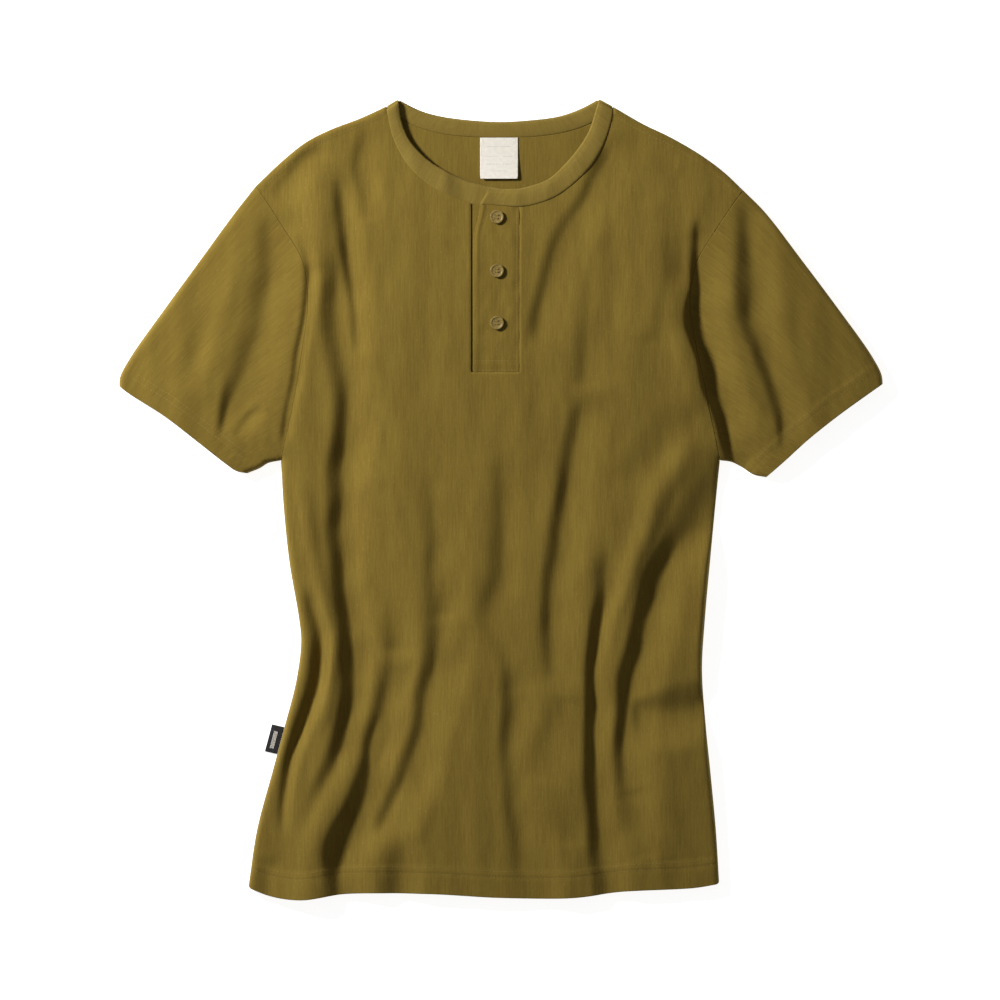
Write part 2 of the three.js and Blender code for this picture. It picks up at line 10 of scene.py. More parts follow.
import bpy
import numpy as np
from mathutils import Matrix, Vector


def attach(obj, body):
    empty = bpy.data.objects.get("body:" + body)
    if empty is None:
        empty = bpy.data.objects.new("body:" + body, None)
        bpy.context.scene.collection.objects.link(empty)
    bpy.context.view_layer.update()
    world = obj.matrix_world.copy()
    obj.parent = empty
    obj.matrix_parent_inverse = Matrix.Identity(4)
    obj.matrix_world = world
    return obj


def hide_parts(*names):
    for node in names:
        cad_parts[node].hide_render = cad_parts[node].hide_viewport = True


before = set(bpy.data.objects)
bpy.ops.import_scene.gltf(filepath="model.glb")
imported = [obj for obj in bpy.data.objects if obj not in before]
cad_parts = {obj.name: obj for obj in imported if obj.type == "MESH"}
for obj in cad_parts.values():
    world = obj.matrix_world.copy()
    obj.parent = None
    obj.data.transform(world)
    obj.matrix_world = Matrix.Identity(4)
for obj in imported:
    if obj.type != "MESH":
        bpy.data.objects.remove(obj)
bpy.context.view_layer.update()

MM = 0.001

# Cloth
KNIT = 1.4
BAND = 2.0
STRIP = 1.15
GAP = 0.3
STEEPEST = 1.6  # the most that a slope adds to the upright depth of a wall, as a factor
FOLD_DEPTH = 1.2  # the drops in FOLDS are all carved deeper by this factor
RIM, DOME = 5.5, 110.0  # how far in from a closed edge the cloth rises, steeply and in all
FOLD_IN = 2.0
HEM_CORNER = 2.5
SEAM = 0.01  # half the gap that shows at a sewn joint
BULGE = 0.45  # how far the round edge of a wall stands out
SEWN_BULGE = {"left": 0.14, "right": 0.4, "slit": 0.12, "neck": 0.08, "strip": 0.1}
OUTWARD = {"left": -1, "right": 1}  # along X, away from the middle of the shirt

# Front opening
SLIT_LEFT = -26.3
SLIT_RIGHT = 16.0
SLIT_FOOT = 113.5
PLACKET_EDGE = -24.6
PLACKET_CURVE = (228, 262, 6)
STRIP_LAP = 0.12  # how far the upper strip reaches over the sewn edges of the slit
BUTTON_X = -3.5
BUTTON_RADIUS, BUTTON_THICK = 6, 2.4
HOLE_AT, HOLE_RADIUS = 1.35, 0.75
BUTTON_HEIGHTS = {"button_top": 250.5, "button_middle": 203, "button_low": 157}
BUTTON_NODES = {"button_top": "button_1", "button_middle": "button_2", "button_low": "button_3"}

# Neckband
BAND_PROUD = 0.3
BAND_CROWN = 0.7
BAND_CORNER = 0.8
BAND_START = [[(-9.7, 276.3), (-18.4, 261.4)], [(3.5, 275.3), (0, 260.2)]]
BAND_FINISH = [[(-14, 278), (-14, 260.6)], [(-1, 276), (-2, 260.2)]]
BAND_SINK = (-54, -30)
BAND_STEP = 2.4
BAND_SQUARE = (6, 24)  # how square its inner and its sewn edge are, as powers
BAND_ROW, BAND_ROW_WIDTH = 0.15, 0.055  # as shares of its width

# Rows of stitching: how far in from the edge each one runs
HEM_ROWS = (18.0, 23.5)
CUFF_ROWS = (13.5, 18.5)
SHOULDER_ROW = 6.5
PLACKET_ROW, PLACKET_SEAM_ROW = 5.6, 2.2
FOOT_ROW, BOX_ROW = 1.6, 9.8

# Lengths that the grids are graded by
SIDE_LENGTH, ARMHOLE_LENGTH, SLEEVE_LENGTH, CUFF_LENGTH = 378, 243, 160, 145
STRIP_LENGTH, STRIP_WIDTH = 148, 41

EDGES = {
    "hem": [(-223.5, -342.5), (-204, -350), (-178, -353.4), (-137, -348), (-63, -348), (1, -351.4),
            (64, -351.4), (107, -346), (171, -342.6), (193, -339)],
    "side_left": [(-223.5, -342.5), (-215.7, -291), (-201.6, -238), (-191, -198.5), (-181, -159),
                  (-176.8, -125), (-178.6, -105), (-187.4, -53), (-192.7, 0), (-194.5, 35.5)],
    "side_right": [(193, -339), (190, -291), (185, -238), (181, -198), (177.8, -150),
                   (180.3, -105.6), (185, -53), (190, 0), (193.6, 35.5)],
    "armhole_left": [(-194.5, 35.5), (-183, 89), (-175, 137.5), (-170.6, 177), (-175, 211),
                     (-195.4, 246), (-216.5, 278.5)],
    "armhole_right": [(193.6, 35.5), (182, 93), (172.4, 137.5), (167, 177), (173.3, 211),
                      (191, 241), (214, 274.5)],
    "shoulder_left": [(-216.5, 278.5), (-192.7, 301), (-172.4, 317), (-152, 327.5),
                      (-124.6, 338), (-101.7, 348.5)],
    "shoulder_right": [(99.5, 348), (125.5, 333), (148.5, 322), (176, 306), (197, 290.5),
                       (214, 274.5)],
    "sleeve_top_left": [(-216.5, 278.5), (-235, 255), (-266, 212.6), (-297, 170), (-327, 127.7),
                        (-337, 109), (-337.6, 101)],
    "sleeve_top_right": [(214, 274.5), (233.4, 255), (266, 212.6), (297.9, 170), (328, 127.7),
                         (336.6, 111), (337.6, 103)],
    "cuff_left": [(-224.5, 24), (-234, 26), (-243, 32), (-270.5, 53.5), (-298, 74.7), (-330, 95),
                  (-337.6, 101)],
    "cuff_right": [(234.5, 20.5), (250, 34), (271.4, 53.5), (298, 74.7), (329, 97), (337.6, 103)],
    "underarm_left": [(-194.5, 35.5), (-206, 33), (-213, 28.7), (-224.5, 24)],
    "underarm_right": [(193.6, 35.5), (204, 34), (213, 29.5), (223, 23), (234.5, 20.5)],
    "front_neck": [(-101.7, 348.5), (-94.6, 318.7), (-80.4, 294), (-58.3, 275.4), (-33.6, 264),
                   (-25, 261), (16, 259), (35.4, 263), (53, 271), (79.6, 295), (90.2, 312.5),
                   (98.1, 336), (99.5, 348)],
    "back_neck": [(-101.7, 348.5), (-86.6, 336.4), (-67, 328), (-40.7, 322.7), (-1, 321),
                  (39, 322.7), (65.4, 328), (85, 336.4), (99.5, 348)],
    "band_left": [(-27.4, 281.6), (-45, 289.5), (-62.8, 300), (-80.4, 318), (-88.4, 336.4),
                  (-91.2, 354.8)],
    "band_right": [(16, 275.6), (25.6, 278), (41.5, 284), (55.7, 296.6), (69, 312.5), (78, 327.5),
                   (83, 342.6), (86.8, 355.2)],
    "band_back": [(86.8, 355.2), (71.6, 347), (52, 340), (25.6, 336.4), (-1, 335), (-27.4, 336.4),
                  (-54, 340), (-71.6, 345), (-91.2, 354.8)],
}

# Loft of the upper cloth over the back, by height up the shirt
LOFT = [(-352, 8), (-270, 11), (-120, 11.5), (40, 11), (165, 10.8), (235, 8.5), (290, 4.4),
        (325, 4.8), (355, 6)]

# Folds from their upper ends: name, how far the cloth takes to rise again to the right, and the
# middle of the steep side at each point, with its drop and width. A drop below zero is a ridge,
# and a path that runs past the hem keeps its depth.
FOLDS = [
    ("left_chest_line", 20, [(-148, 294, 0.2, 8.6), (-146, 261, 3.2, 11.2), (-142, 230, 3.8, 10.6),
        (-134, 186, 3.8, 8.6), (-129, 146, 3.2, 8), (-127, 122, 1.4, 8)]),
    ("left_collarbone", 20, [(-122, 335, 0, 10.5), (-130, 301, 3.3, 11.5), (-126, 274, 3, 12.2),
        (-123, 257, 2, 12.7), (-121, 241, 0.3, 13.4)]),
    ("left_flank", 33, [(-145, 237, 1.6, 16), (-153, 191, 6, 17), (-154, 153, 6.6, 18.5),
        (-148, 120, 5, 19), (-143, 87, 6.2, 17.5), (-145, 53, 8.6, 17.6), (-148, 27, 9.6, 18.4),
        (-149, 0, 9.2, 18.1), (-148, -41, 9.4, 16.7), (-143, -85, 9.2, 15.8),
        (-138.5, -123, 9.8, 14), (-138, -163, 9.4, 14.5), (-143, -201, 8.3, 14.6),
        (-152, -231, 6.2, 15), (-164, -258, 4.6, 15), (-175, -282, 3.2, 15), (-184, -304, 1, 16)]),
    ("left_waist", 10, [(-176, -72, 1, 8), (-171, -97, 5, 11), (-164.5, -122, 9, 15),
        (-166, -145, 9.8, 15), (-171, -168, 9.2, 13.5), (-178, -190, 8.6, 13),
        (-186, -213, 7.6, 11.5), (-192, -237, 6.4, 10), (-196, -260, 5, 8), (-196, -283, 3, 6),
        (-194, -305, 0.6, 6)]),
    ("left_belly_feed", 26, [(-120, 20, 0.7, 14.3), (-118, -39, 2.1, 17.6), (-112, -79, 3.1, 18.6),
        (-104, -123, 4.7, 18.6), (-105, -145, 1.9, 18.1)]),
    ("left_hem", 34, [(-103, -112, 0.6, 17), (-104, -134, 2.6, 17.2), (-107, -163, 7.4, 16.7),
        (-113, -196, 10.1, 17.4), (-121, -234, 9.8, 18), (-131, -267, 10.2, 20),
        (-146, -298, 9.6, 21), (-151, -325, 6.6, 17), (-149, -353, 4.4, 14),
        (-148, -406, 4.2, 13)]),
    ("left_belly", 33, [(-58, -62, 0.4, 18), (-59, -99, 2.4, 18), (-64, -137, 5.6, 17),
        (-72, -174, 5.6, 15), (-78, -207, 5.8, 14.5), (-88, -238, 6.4, 14.5),
        (-97, -260, 6.6, 14.5), (-108, -282, 5.8, 13), (-119, -303, 1.5, 10)]),
    ("left_hem_small", 22, [(-85, -288, 0.1, 10.5), (-92, -309, 2.4, 16), (-96, -334, 3.5, 18.6),
        (-98, -358, 3.9, 19.1), (-98, -397, 3.9, 19.1)]),
    ("left_hem_corner", 13, [(-210, -311, 0.6, 17.2), (-213, -335, 2.8, 13.6),
        (-215, -358, 2.8, 12.4), (-217, -397, 2.8, 12.4)]),
    ("belly_band_left", 31, [(-69, 27, 0.6, 16.2), (-65, -26, 2.3, 16), (-63, -88, 2.1, 17.2),
        (-61, -113, 1.3, 22)]),
    ("belly_band_centre", 40, [(-5, 48, 0.6, 13.4), (-5, -8, 2.2, 15.1), (-6, -57, 2.5, 16.2),
        (-16, -106, 2.1, 16), (2, -148, 1.2, 14.1), (6, -176, 1.2, 12.4)]),
    ("centre_hem", 33, [(3, -141, 0.5, 16.2), (5, -181, 3.7, 13.8), (2, -218, 3.7, 13.4),
        (5, -262, 3.3, 14.6), (11, -296, 2.7, 16.2), (14, -328, 2.3, 18.1), (17, -358, 2.1, 19.1),
        (19, -406, 2.1, 19.1)]),
    ("right_belly", 31, [(68, 102, 0.9, 18.1), (64, 76, 3.6, 15), (57, 38, 4.2, 13.6),
        (51, -4, 4.3, 13.6), (45, -41, 4.8, 14.1), (39, -88, 4.3, 14.3), (40, -141, 4, 14.8),
        (44, -181, 0.9, 16.2)]),
    ("right_belly_patch", 35, [(45, -168, 0.7, 18.9), (39, -196, 1.6, 18.9), (31, -221, 1.6, 18.9),
        (26, -251, 0.7, 18.9)]),
    ("right_hem", 29, [(94, -30, 0.3, 10.5), (86, -61, 3.3, 15), (86, -88, 5.8, 16),
        (80, -123, 6, 13), (78, -163, 6, 12), (76, -207, 6.4, 12), (77, -251, 6.7, 13),
        (80, -284, 6.4, 15.1), (83, -325, 4.5, 16), (88, -362, 3.6, 16.2), (89, -406, 3.6, 16.2)]),
    ("right_flank", 35, [(208, 66, 2, 24), (202, 46, 5, 36), (186, 16, 8.2, 42),
        (166, -12, 7.2, 30), (146, -40, 6.6, 17), (131.5, -68, 7.2, 15.5), (120, -107, 7.8, 15),
        (110.5, -141, 8, 14.5), (105, -185, 8, 13.5), (103, -218, 7, 13.5), (105, -251, 5.2, 14),
        (108, -285, 3, 16), (110, -318, 0.5, 18)]),
    ("right_flank_shade", 31, [(201, 73, 0.8, 24), (176, 82, 1.7, 26), (155, 77, 1.7, 26),
        (133, 55, 1.7, 26), (112, 34, 1.7, 24), (98, 9, 0.8, 22)]),
    ("right_hip_patch", 26, [(107, -256, 0.9, 20.2), (114, -291, 2, 20.2), (118, -320, 0.9, 20.2)]),
    ("right_side_soft", 26, [(156, -216, 0.3, 18.1), (155, -256, 0.8, 14.8), (163, -305, 1.7, 15.5),
        (166, -335, 0.2, 17.2)]),
    ("right_waist_dent", 38, [(200, -160, 3, 26), (184, -169, 8, 28), (164, -172, 8.2, 28),
        (144, -176, 7.6, 24), (128, -179, 5.6, 18), (113, -181, 1, 12)]),
    ("right_neck_fold", 31, [(104, 322, 0.8, 10), (93, 308, 2.4, 12.2), (81, 289, 3, 12.2),
        (70, 267, 2.7, 12.2), (53, 243, 2.7, 12.2), (43, 220, 2.8, 12.2), (36, 191, 3, 12.2),
        (29, 158, 3, 12.2), (26, 131, 1.4, 12.2)]),
    ("right_shoulder_shade", 20, [(162, 303, 0.9, 10.8), (132, 319, 2, 10.8),
        (103, 328, 0.9, 10.8)]),
    ("right_breast_soft", 31, [(76, 211, 0.2, 16.2), (73, 167, 1.1, 17.2), (69, 122, 2.5, 17.4),
        (67, 96, 0.9, 16.2)]),
    ("right_armhole", 32, [(182, 256, 0.4, 8), (174, 250, 2.4, 8), (170, 240, 3.8, 8),
        (169.5, 228, 4, 8), (170, 207, 5.2, 9), (169, 188, 6.8, 9), (165.5, 172, 8.6, 9.5),
        (166, 158, 9.6, 10), (169, 143, 9.8, 10), (175.5, 121.5, 9.8, 10), (181.5, 98.6, 9.6, 10),
        (190, 75.6, 8.8, 10), (197, 52.6, 7.6, 10), (203, 36, 6, 9), (208, 12, 5, 9)]),
    ("right_armhole_lead", 26, [(153, 240, 0.6, 18.9), (151, 200, 1.1, 18.9), (147, 165, 0.8, 18.9),
        (146, 140, 0.3, 18.9)]),
    ("right_sleeve", 26, [(205, 272, 0.8, 12), (211, 256, 2.8, 14), (214.5, 222, 5, 17),
        (214.5, 190, 5.6, 19), (214.5, 163, 5.4, 18), (218, 150, 4.9, 15.5), (224.5, 133, 4.4, 13),
        (234, 110, 4.4, 12.5), (241.5, 87, 4.8, 12.5), (244.5, 75, 4.5, 10.5),
        (245.5, 62, 3.5, 8.5), (245.5, 50, 2, 7), (244, 38, 0.3, 6)]),
    ("left_sleeve", 42, [(-210, 262, 1, 14), (-211, 235, 3.8, 18), (-213, 204, 4.5, 21),
        (-220.5, 165, 4.5, 23), (-229, 132, 3.8, 21), (-238.5, 106, 3.8, 16), (-246, 80, 4.4, 11),
        (-250, 62, 2.6, 7), (-253, 50, 0.4, 6)]),
    ("left_sleeve_dent", 13, [(-211, 87, 0.8, 6.8), (-225, 75, 1.8, 6.8), (-238, 55, 0.8, 6.8)]),
    ("left_sleeve_soft", 24, [(-259, 177, 0.8, 20), (-273, 137, 1.4, 18), (-291, 102, 0.8, 16)]),
    ("left_armhole", 9, [(-181, 237, 0.8, 8), (-175, 220, 2.4, 8), (-172.5, 199, 3.6, 8),
        (-173, 180, 3.4, 7), (-176, 160, 3, 6), (-183, 118, 3, 5.5), (-188.7, 93, 3, 5.5),
        (-192.7, 67, 2.8, 5.5), (-196, 45, 2, 6)]),
    ("left_shoulder_shade", 22, [(-155, 316, 1.1, 10.8), (-178, 303, 2.4, 10.8),
        (-193, 285, 2.4, 10.8), (-206, 269, 1.1, 10.8)]),
    ("left_armpit_soft", 13, [(-178, 253, 0.2, 15.3), (-173, 230, 1.3, 12.7),
        (-169, 211, 0.3, 6.7)]),
    ("hem_light_right", 0, [(63, -298, -0.7, 26), (63, -327, -1.5, 26), (61, -358, -1.5, 26),
        (61, -389, -0.7, 26)]),
    ("left_chest_ridge", 0, [(-161, 308, -1.1, 25), (-161, 280, -3.6, 26), (-162, 250, -3.8, 26),
        (-164, 226, -3, 24), (-167, 200, -1, 20)]),
    ("left_flank_ridge", 0, [(-183, 34, -1, 14), (-173, -10, -2.2, 14), (-164, -57, -2.4, 14),
        (-154, -99, -2.8, 13), (-150, -141, -3, 12), (-154, -181, -2.4, 13), (-163, -212, -1, 14)]),
    ("left_hem_ridge", 0, [(-130, -216, -1.4, 18), (-143, -250, -3.6, 22), (-155, -274, -4.4, 26),
        (-162, -296, -4.8, 28), (-166, -320, -4.8, 30), (-168, -358, -4.8, 32),
        (-170, -397, -3, 32)]),
    ("right_breast_ridge", 0, [(130, 269, -0.9, 27), (132, 221, -2, 27), (132, 177, -2, 27),
        (130, 137, -0.9, 27)]),
    ("right_flank_ridge", 0, [(184, 64, -0.8, 20), (160, 38, -2.6, 22), (142, 10, -3.6, 22),
        (130, -25, -4, 20), (120, -51, -4, 19), (110, -78, -3.8, 18), (101, -106, -3.4, 17),
        (96, -132, -2.6, 17), (94, -165, -1.6, 17), (93, -200, -0.7, 17)]),
    ("centre_ridge", 0, [(-21, 45, -0.6, 22), (-20, -26, -1.4, 22), (-27, -84, -1.4, 22),
        (-41, -123, -1.4, 22), (-54, -145, -0.6, 22)]),
    ("left_sleeve_ridge", 0, [(-231, 261, -0.8, 19), (-234, 213, -1.3, 19), (-247, 160, -1.2, 19),
        (-261, 114, -1.4, 19), (-270, 80, -0.8, 19)]),
    ("right_armhole_ridge", 0, [(160, 200, -0.6, 16), (154, 170, -1.8, 18), (157, 143, -2, 18),
        (164, 118, -2, 18), (170, 96, -1.8, 18), (177, 74, -1.2, 16), (183, 55, -0.5, 14)]),
    ("left_armhole_ridge", 0, [(-168, 200, -0.3, 5), (-168, 186, -0.9, 5.5), (-172, 157, -1, 5.5),
        (-178.5, 122, -1.1, 5.5), (-185.5, 93, -1.1, 5.5), (-189.5, 67, -0.9, 5),
        (-192.5, 48, -0.3, 5)]),
    ("right_side_ridge", 0, [(192, -20, -1, 44), (191, -60, -4.2, 46), (189, -110, -4.6, 46),
        (187, -145, -3, 44), (185, -170, -0.8, 40)]),
]


def smoothstep(x, low, high):
    t = np.clip((x - low) / (high - low), 0, 1)
    return t * t * (3 - 2 * t)


def smooth_line(points):
    """A close polyline along the smooth curve through these points."""
    p = np.array(points, float)
    p = np.vstack([2 * p[0] - p[1], p, 2 * p[-1] - p[-2]])
    t = np.linspace(0, 1, 24, endpoint=False)[:, None]
    parts = []
    for a, b, c, d in zip(p, p[1:], p[2:], p[3:]):
        ab, bc, cd = (np.linalg.norm(q - r) ** 0.5 for q, r in ((b, a), (c, b), (d, c)))
        leave = ((b - a) / ab - (c - a) / (ab + bc) + (c - b) / bc) * bc
        arrive = ((c - b) / bc - (d - b) / (bc + cd) + (d - c) / cd) * bc
        parts.append(b + leave * t + (3 * (c - b) - 2 * leave - arrive) * t**2
                     + (2 * (b - c) + leave + arrive) * t**3)
    return np.vstack([*parts, p[-2]])


def run_of(line):
    """Distance along a polyline at each of its points."""
    return np.concatenate([[0], np.cumsum(np.linalg.norm(np.diff(line, axis=0), axis=1))])


def spaced(line, count):
    """The polyline again, in count even steps."""
    line = np.asarray(line, float)
    run = run_of(line)
    at = np.linspace(0, run[-1], count + 1)
    return np.column_stack([np.interp(at, run, line[:, k]) for k in range(line.shape[1])])


CURVES = {name: spaced(smooth_line(points), 300) for name, points in EDGES.items()}


def reader(name, key, value):
    """Reads an edge as one coordinate worked out from the other, which grows along it."""
    line = CURVES[name]
    if line[0, key] > line[-1, key]:
        line = line[::-1]
    return lambda at: np.interp(at, line[:, key], line[:, value])


def nearest(line, x, y):
    """For arrays of points, the distance to a plan line, the side and how far along it is."""
    best = np.full(x.shape, np.inf)
    side = np.ones(x.shape)
    along = np.zeros(x.shape)
    for i, ((ax, ay), (bx, by)) in enumerate(zip(line[:-1], line[1:])):
        dx, dy = bx - ax, by - ay
        t = np.clip(((x - ax) * dx + (y - ay) * dy) / (dx * dx + dy * dy), 0, 1)
        away = np.hypot(x - ax - t * dx, y - ay - t * dy)
        closer = away < best
        best = np.where(closer, away, best)
        side = np.where(closer, np.sign(dx * (y - ay) - dy * (x - ax)), side)
        along = np.where(closer, (i + t) / (len(line) - 1), along)
    return best, side, along


WAVES = 16


def waves(x, y, across, along, seed):
    """Irregular waves of about unit height, with these wavelengths along X and Y."""
    rng = np.random.default_rng(seed)
    total = np.zeros(np.shape(x))
    for _ in range(WAVES):
        turn = rng.uniform(0, 2 * np.pi)
        pace = rng.uniform(0.6, 1.6)
        total = total + np.sin(2 * np.pi * pace * (math.cos(turn) * x / across
                                                   + math.sin(turn) * y / along)
                               + rng.uniform(0, 2 * np.pi))
    return total / math.sqrt(WAVES / 2)


# The folds are carved into one height map of the whole shirt, a millimetre to a cell.
MAP_LEFT, MAP_RIGHT, MAP_FOOT, MAP_HEAD = -352, 352, -372, 372


def carve_heights():
    """The loft with all folds taken out of it, on the cells of the map."""
    xs = np.arange(MAP_LEFT, MAP_RIGHT + 1, 1.0)
    ys = np.arange(MAP_FOOT, MAP_HEAD + 1, 1.0)
    x, y = np.meshgrid(xs, ys)
    lofts = np.array(LOFT)
    height = np.interp(y, lofts[:, 0], lofts[:, 1])
    height += 0.24 * waves(x, y, 36, 150, 1) + 0.07 * waves(x, y, 15, 70, 2)
    sway_x = x + 0.6 * waves(x, y, 60, 75, 3)
    sway_y = y + 0.6 * waves(x, y, 60, 75, 4)
    uneven = 1 + 0.06 * waves(x, y, 45, 60, 5)
    for _, rise, path in FOLDS:
        line = spaced(smooth_line(path), 3 * len(path) + 6)
        reach = rise + line[:, 3].max() * 1.5
        low, high = line[:, :2].min(0) - reach, line[:, :2].max(0) + reach
        block = (slice(*np.searchsorted(ys, (low[1], high[1]))),
                 slice(*np.searchsorted(xs, (low[0], high[0]))))
        away, side, along = nearest(line[:, :2], sway_x[block], sway_y[block])
        marks = np.linspace(0, 1, len(line))
        drop, width = np.interp(along, marks, line[:, 2]), np.interp(along, marks, line[:, 3])
        across = side * away
        if path[1][2] > 0:
            shape = smoothstep(across, -width / 2, width / 2) - smoothstep(
                across, width / 2, width / 2 + rise)
        else:
            shape = np.exp(-((2 * across / width) ** 2))
        fade = smoothstep(np.minimum(along, 1 - along), 0, 0.1)
        height[block] -= FOLD_DEPTH * drop * shape * uneven[block] * fade
    for _ in range(2):
        height[1:-1] = (height[:-2] + 2 * height[1:-1] + height[2:]) / 4
        height[:, 1:-1] = (height[:, :-2] + 2 * height[:, 1:-1] + height[:, 2:]) / 4
    return (height + np.hypot(height, 1)) / 2


HEIGHTS = carve_heights()


def read_map(values, x, y):
    i = np.clip(x - MAP_LEFT, 0, values.shape[1] - 1.001)
    j = np.clip(y - MAP_FOOT, 0, values.shape[0] - 1.001)
    a, b = i.astype(int), j.astype(int)
    u, v = i - a, j - b
    return ((1 - v) * ((1 - u) * values[b, a] + u * values[b, a + 1])
            + v * ((1 - u) * values[b + 1, a] + u * values[b + 1, a + 1]))


# The closed edges of the shirt, where its upper and lower cloth meet
CLOSED = [spaced(CURVES[f"{edge}_{hand}"], 60)
          for edge in ("side", "shoulder", "sleeve_top", "underarm") for hand in OUTWARD]
CLOSED += [np.array([EDGES["shoulder_left"][-1], EDGES["band_left"][-1]], float),
           np.array([EDGES["shoulder_right"][0], EDGES["band_right"][-1]], float)]
CLOSED_STARTS = np.vstack([line[:-1] for line in CLOSED])
CLOSED_STEPS = np.vstack([line[1:] - line[:-1] for line in CLOSED])
AT_ONCE = 4000  # points measured together, to spare memory


def edge_away(x, y):
    """Distance in plan from each point to the nearest closed edge, up to DOME."""
    shape, points = x.shape, np.column_stack([x.ravel(), y.ravel()])
    away = np.empty(len(points))
    reach = (CLOSED_STEPS ** 2).sum(1)
    for k in range(0, len(points), AT_ONCE):
        from_start = points[k:k + AT_ONCE, None] - CLOSED_STARTS
        t = np.clip((from_start * CLOSED_STEPS).sum(2) / reach, 0, 1)
        rest = from_start - t[:, :, None] * CLOSED_STEPS
        away[k:k + AT_ONCE] = np.sqrt((rest ** 2).sum(2).min(1))
    return np.minimum(away, DOME).reshape(shape)


def lift(x, y):
    """How far the upper cloth stands off the lower, rounded down to the closed edges."""
    x, y = np.broadcast_arrays(np.asarray(x, float), np.asarray(y, float))
    edge = edge_away(x, y)
    rim = np.sqrt(1 - (1 - np.minimum(edge / RIM, 1)) ** 2)
    return read_map(HEIGHTS, x, y) * (0.72 * rim + 0.28 * (1 - (1 - edge / DOME) ** 2))


def slope_of(x, y):
    return (lift(x + 1, y) - lift(x - 1, y)) / 2, (lift(x, y + 1) - lift(x, y - 1)) / 2


def under(x, y):
    """Inner face of the upper cloth."""
    return KNIT + GAP + lift(x, y)


def deep(thick, x, y):
    """Upright depth of a wall on the slope of the upper cloth."""
    sx, sy = slope_of(x, y)
    return thick * np.minimum(np.sqrt(1 + sx * sx + sy * sy), STEEPEST)


def over(x, y):
    """Outer face of the upper cloth, before its hems and seams."""
    return under(x, y) + deep(KNIT, x, y)


hem_at = reader("hem", 0, 1)
corner_left, corner_right = EDGES["hem"][0], EDGES["hem"][-1]
tip_left, tip_right = EDGES["armhole_left"][-1], EDGES["armhole_right"][-1]
neck_left, neck_right = EDGES["front_neck"][0], EDGES["front_neck"][-1]


def turned_edge(away, along, rows, dimple):
    """Extra height of a turned hem: double cloth up to its last row, dimpled at each row."""
    inside = 0.45 * (1 - smoothstep(away, rows[-1] + 0.3, rows[-1] + 2.4))
    pull = 0.07 * np.sin(along * 2 * np.pi / 9.5 + 1.3 * np.sin(along / 17)) * np.exp(
        -((away - rows[0] * 0.8) / 9) ** 2)
    return inside + pull - sum(dimple * np.exp(-(((away - row) / 1.15) ** 2)) for row in rows)


def lower_rows(away, rows):
    """How far a lower face is drawn up at its rows of stitches."""
    return 0.22 * sum(np.exp(-(((away - row) / 1.2) ** 2)) for row in rows)


def hem_rise(x, y):
    return turned_edge(y - hem_at(x), x, HEM_ROWS, 0.22)


SHOULDERS = [spaced(CURVES["shoulder_" + hand], 30) for hand in OUTWARD]


def shoulder_rise(x, y):
    away = np.minimum(*(nearest(line, x, y)[0] for line in SHOULDERS))
    return 0.35 * (1 - smoothstep(away, SHOULDER_ROW, SHOULDER_ROW + 1.6)) - 0.4 * np.exp(
        -(((away - SHOULDER_ROW) / 1.1) ** 2))


def front_top(x, y):
    """Outer face of the front."""
    return over(x, y) + hem_rise(x, y) + shoulder_rise(x, y)


# Meshes
def add_object(name, data):
    made = bpy.data.objects.new(name, data)
    bpy.context.scene.collection.objects.link(made)
    return made


def units(ways):
    """The same directions, one unit long."""
    return ways / np.maximum(np.linalg.norm(ways, axis=1), 1e-9)[:, None]


def new_mesh(name, points, faces, uv):
    """A smooth mesh from points in millimetres. uv gives each point's place in the flat cloth."""
    used, faces_again = np.unique(np.concatenate([np.ravel(f) for f in faces]), return_inverse=True)
    lists, start = [], 0
    for f in faces:
        lists += faces_again[start:start + f.size].reshape(f.shape).tolist()
        start += f.size
    mesh = bpy.data.meshes.new(name)
    mesh.from_pydata((points[used] * MM).tolist(), [], lists)
    layer = mesh.uv_layers.new(name="cloth")
    corner = np.zeros(len(mesh.loops), int)
    mesh.loops.foreach_get("vertex_index", corner)
    layer.data.foreach_set("uv", (uv[used] * MM)[corner].astype(np.float32).ravel())
    mesh.polygons.foreach_set("use_smooth", np.ones(len(mesh.polygons), bool))
    mesh.update()
    mesh.validate()
    return add_object(name, mesh)


def quads(ids):
    """The faces of a grid of vertex numbers, facing up where X grows along a row."""
    return np.stack([ids[:-1, :-1], ids[:-1, 1:], ids[1:, 1:], ids[1:, :-1]], -1)


# The angles of the points round an edge, from the upper face to the lower
ROUND = [math.pi / 2 - k * math.pi / 4 for k in (1, 2, 3)]


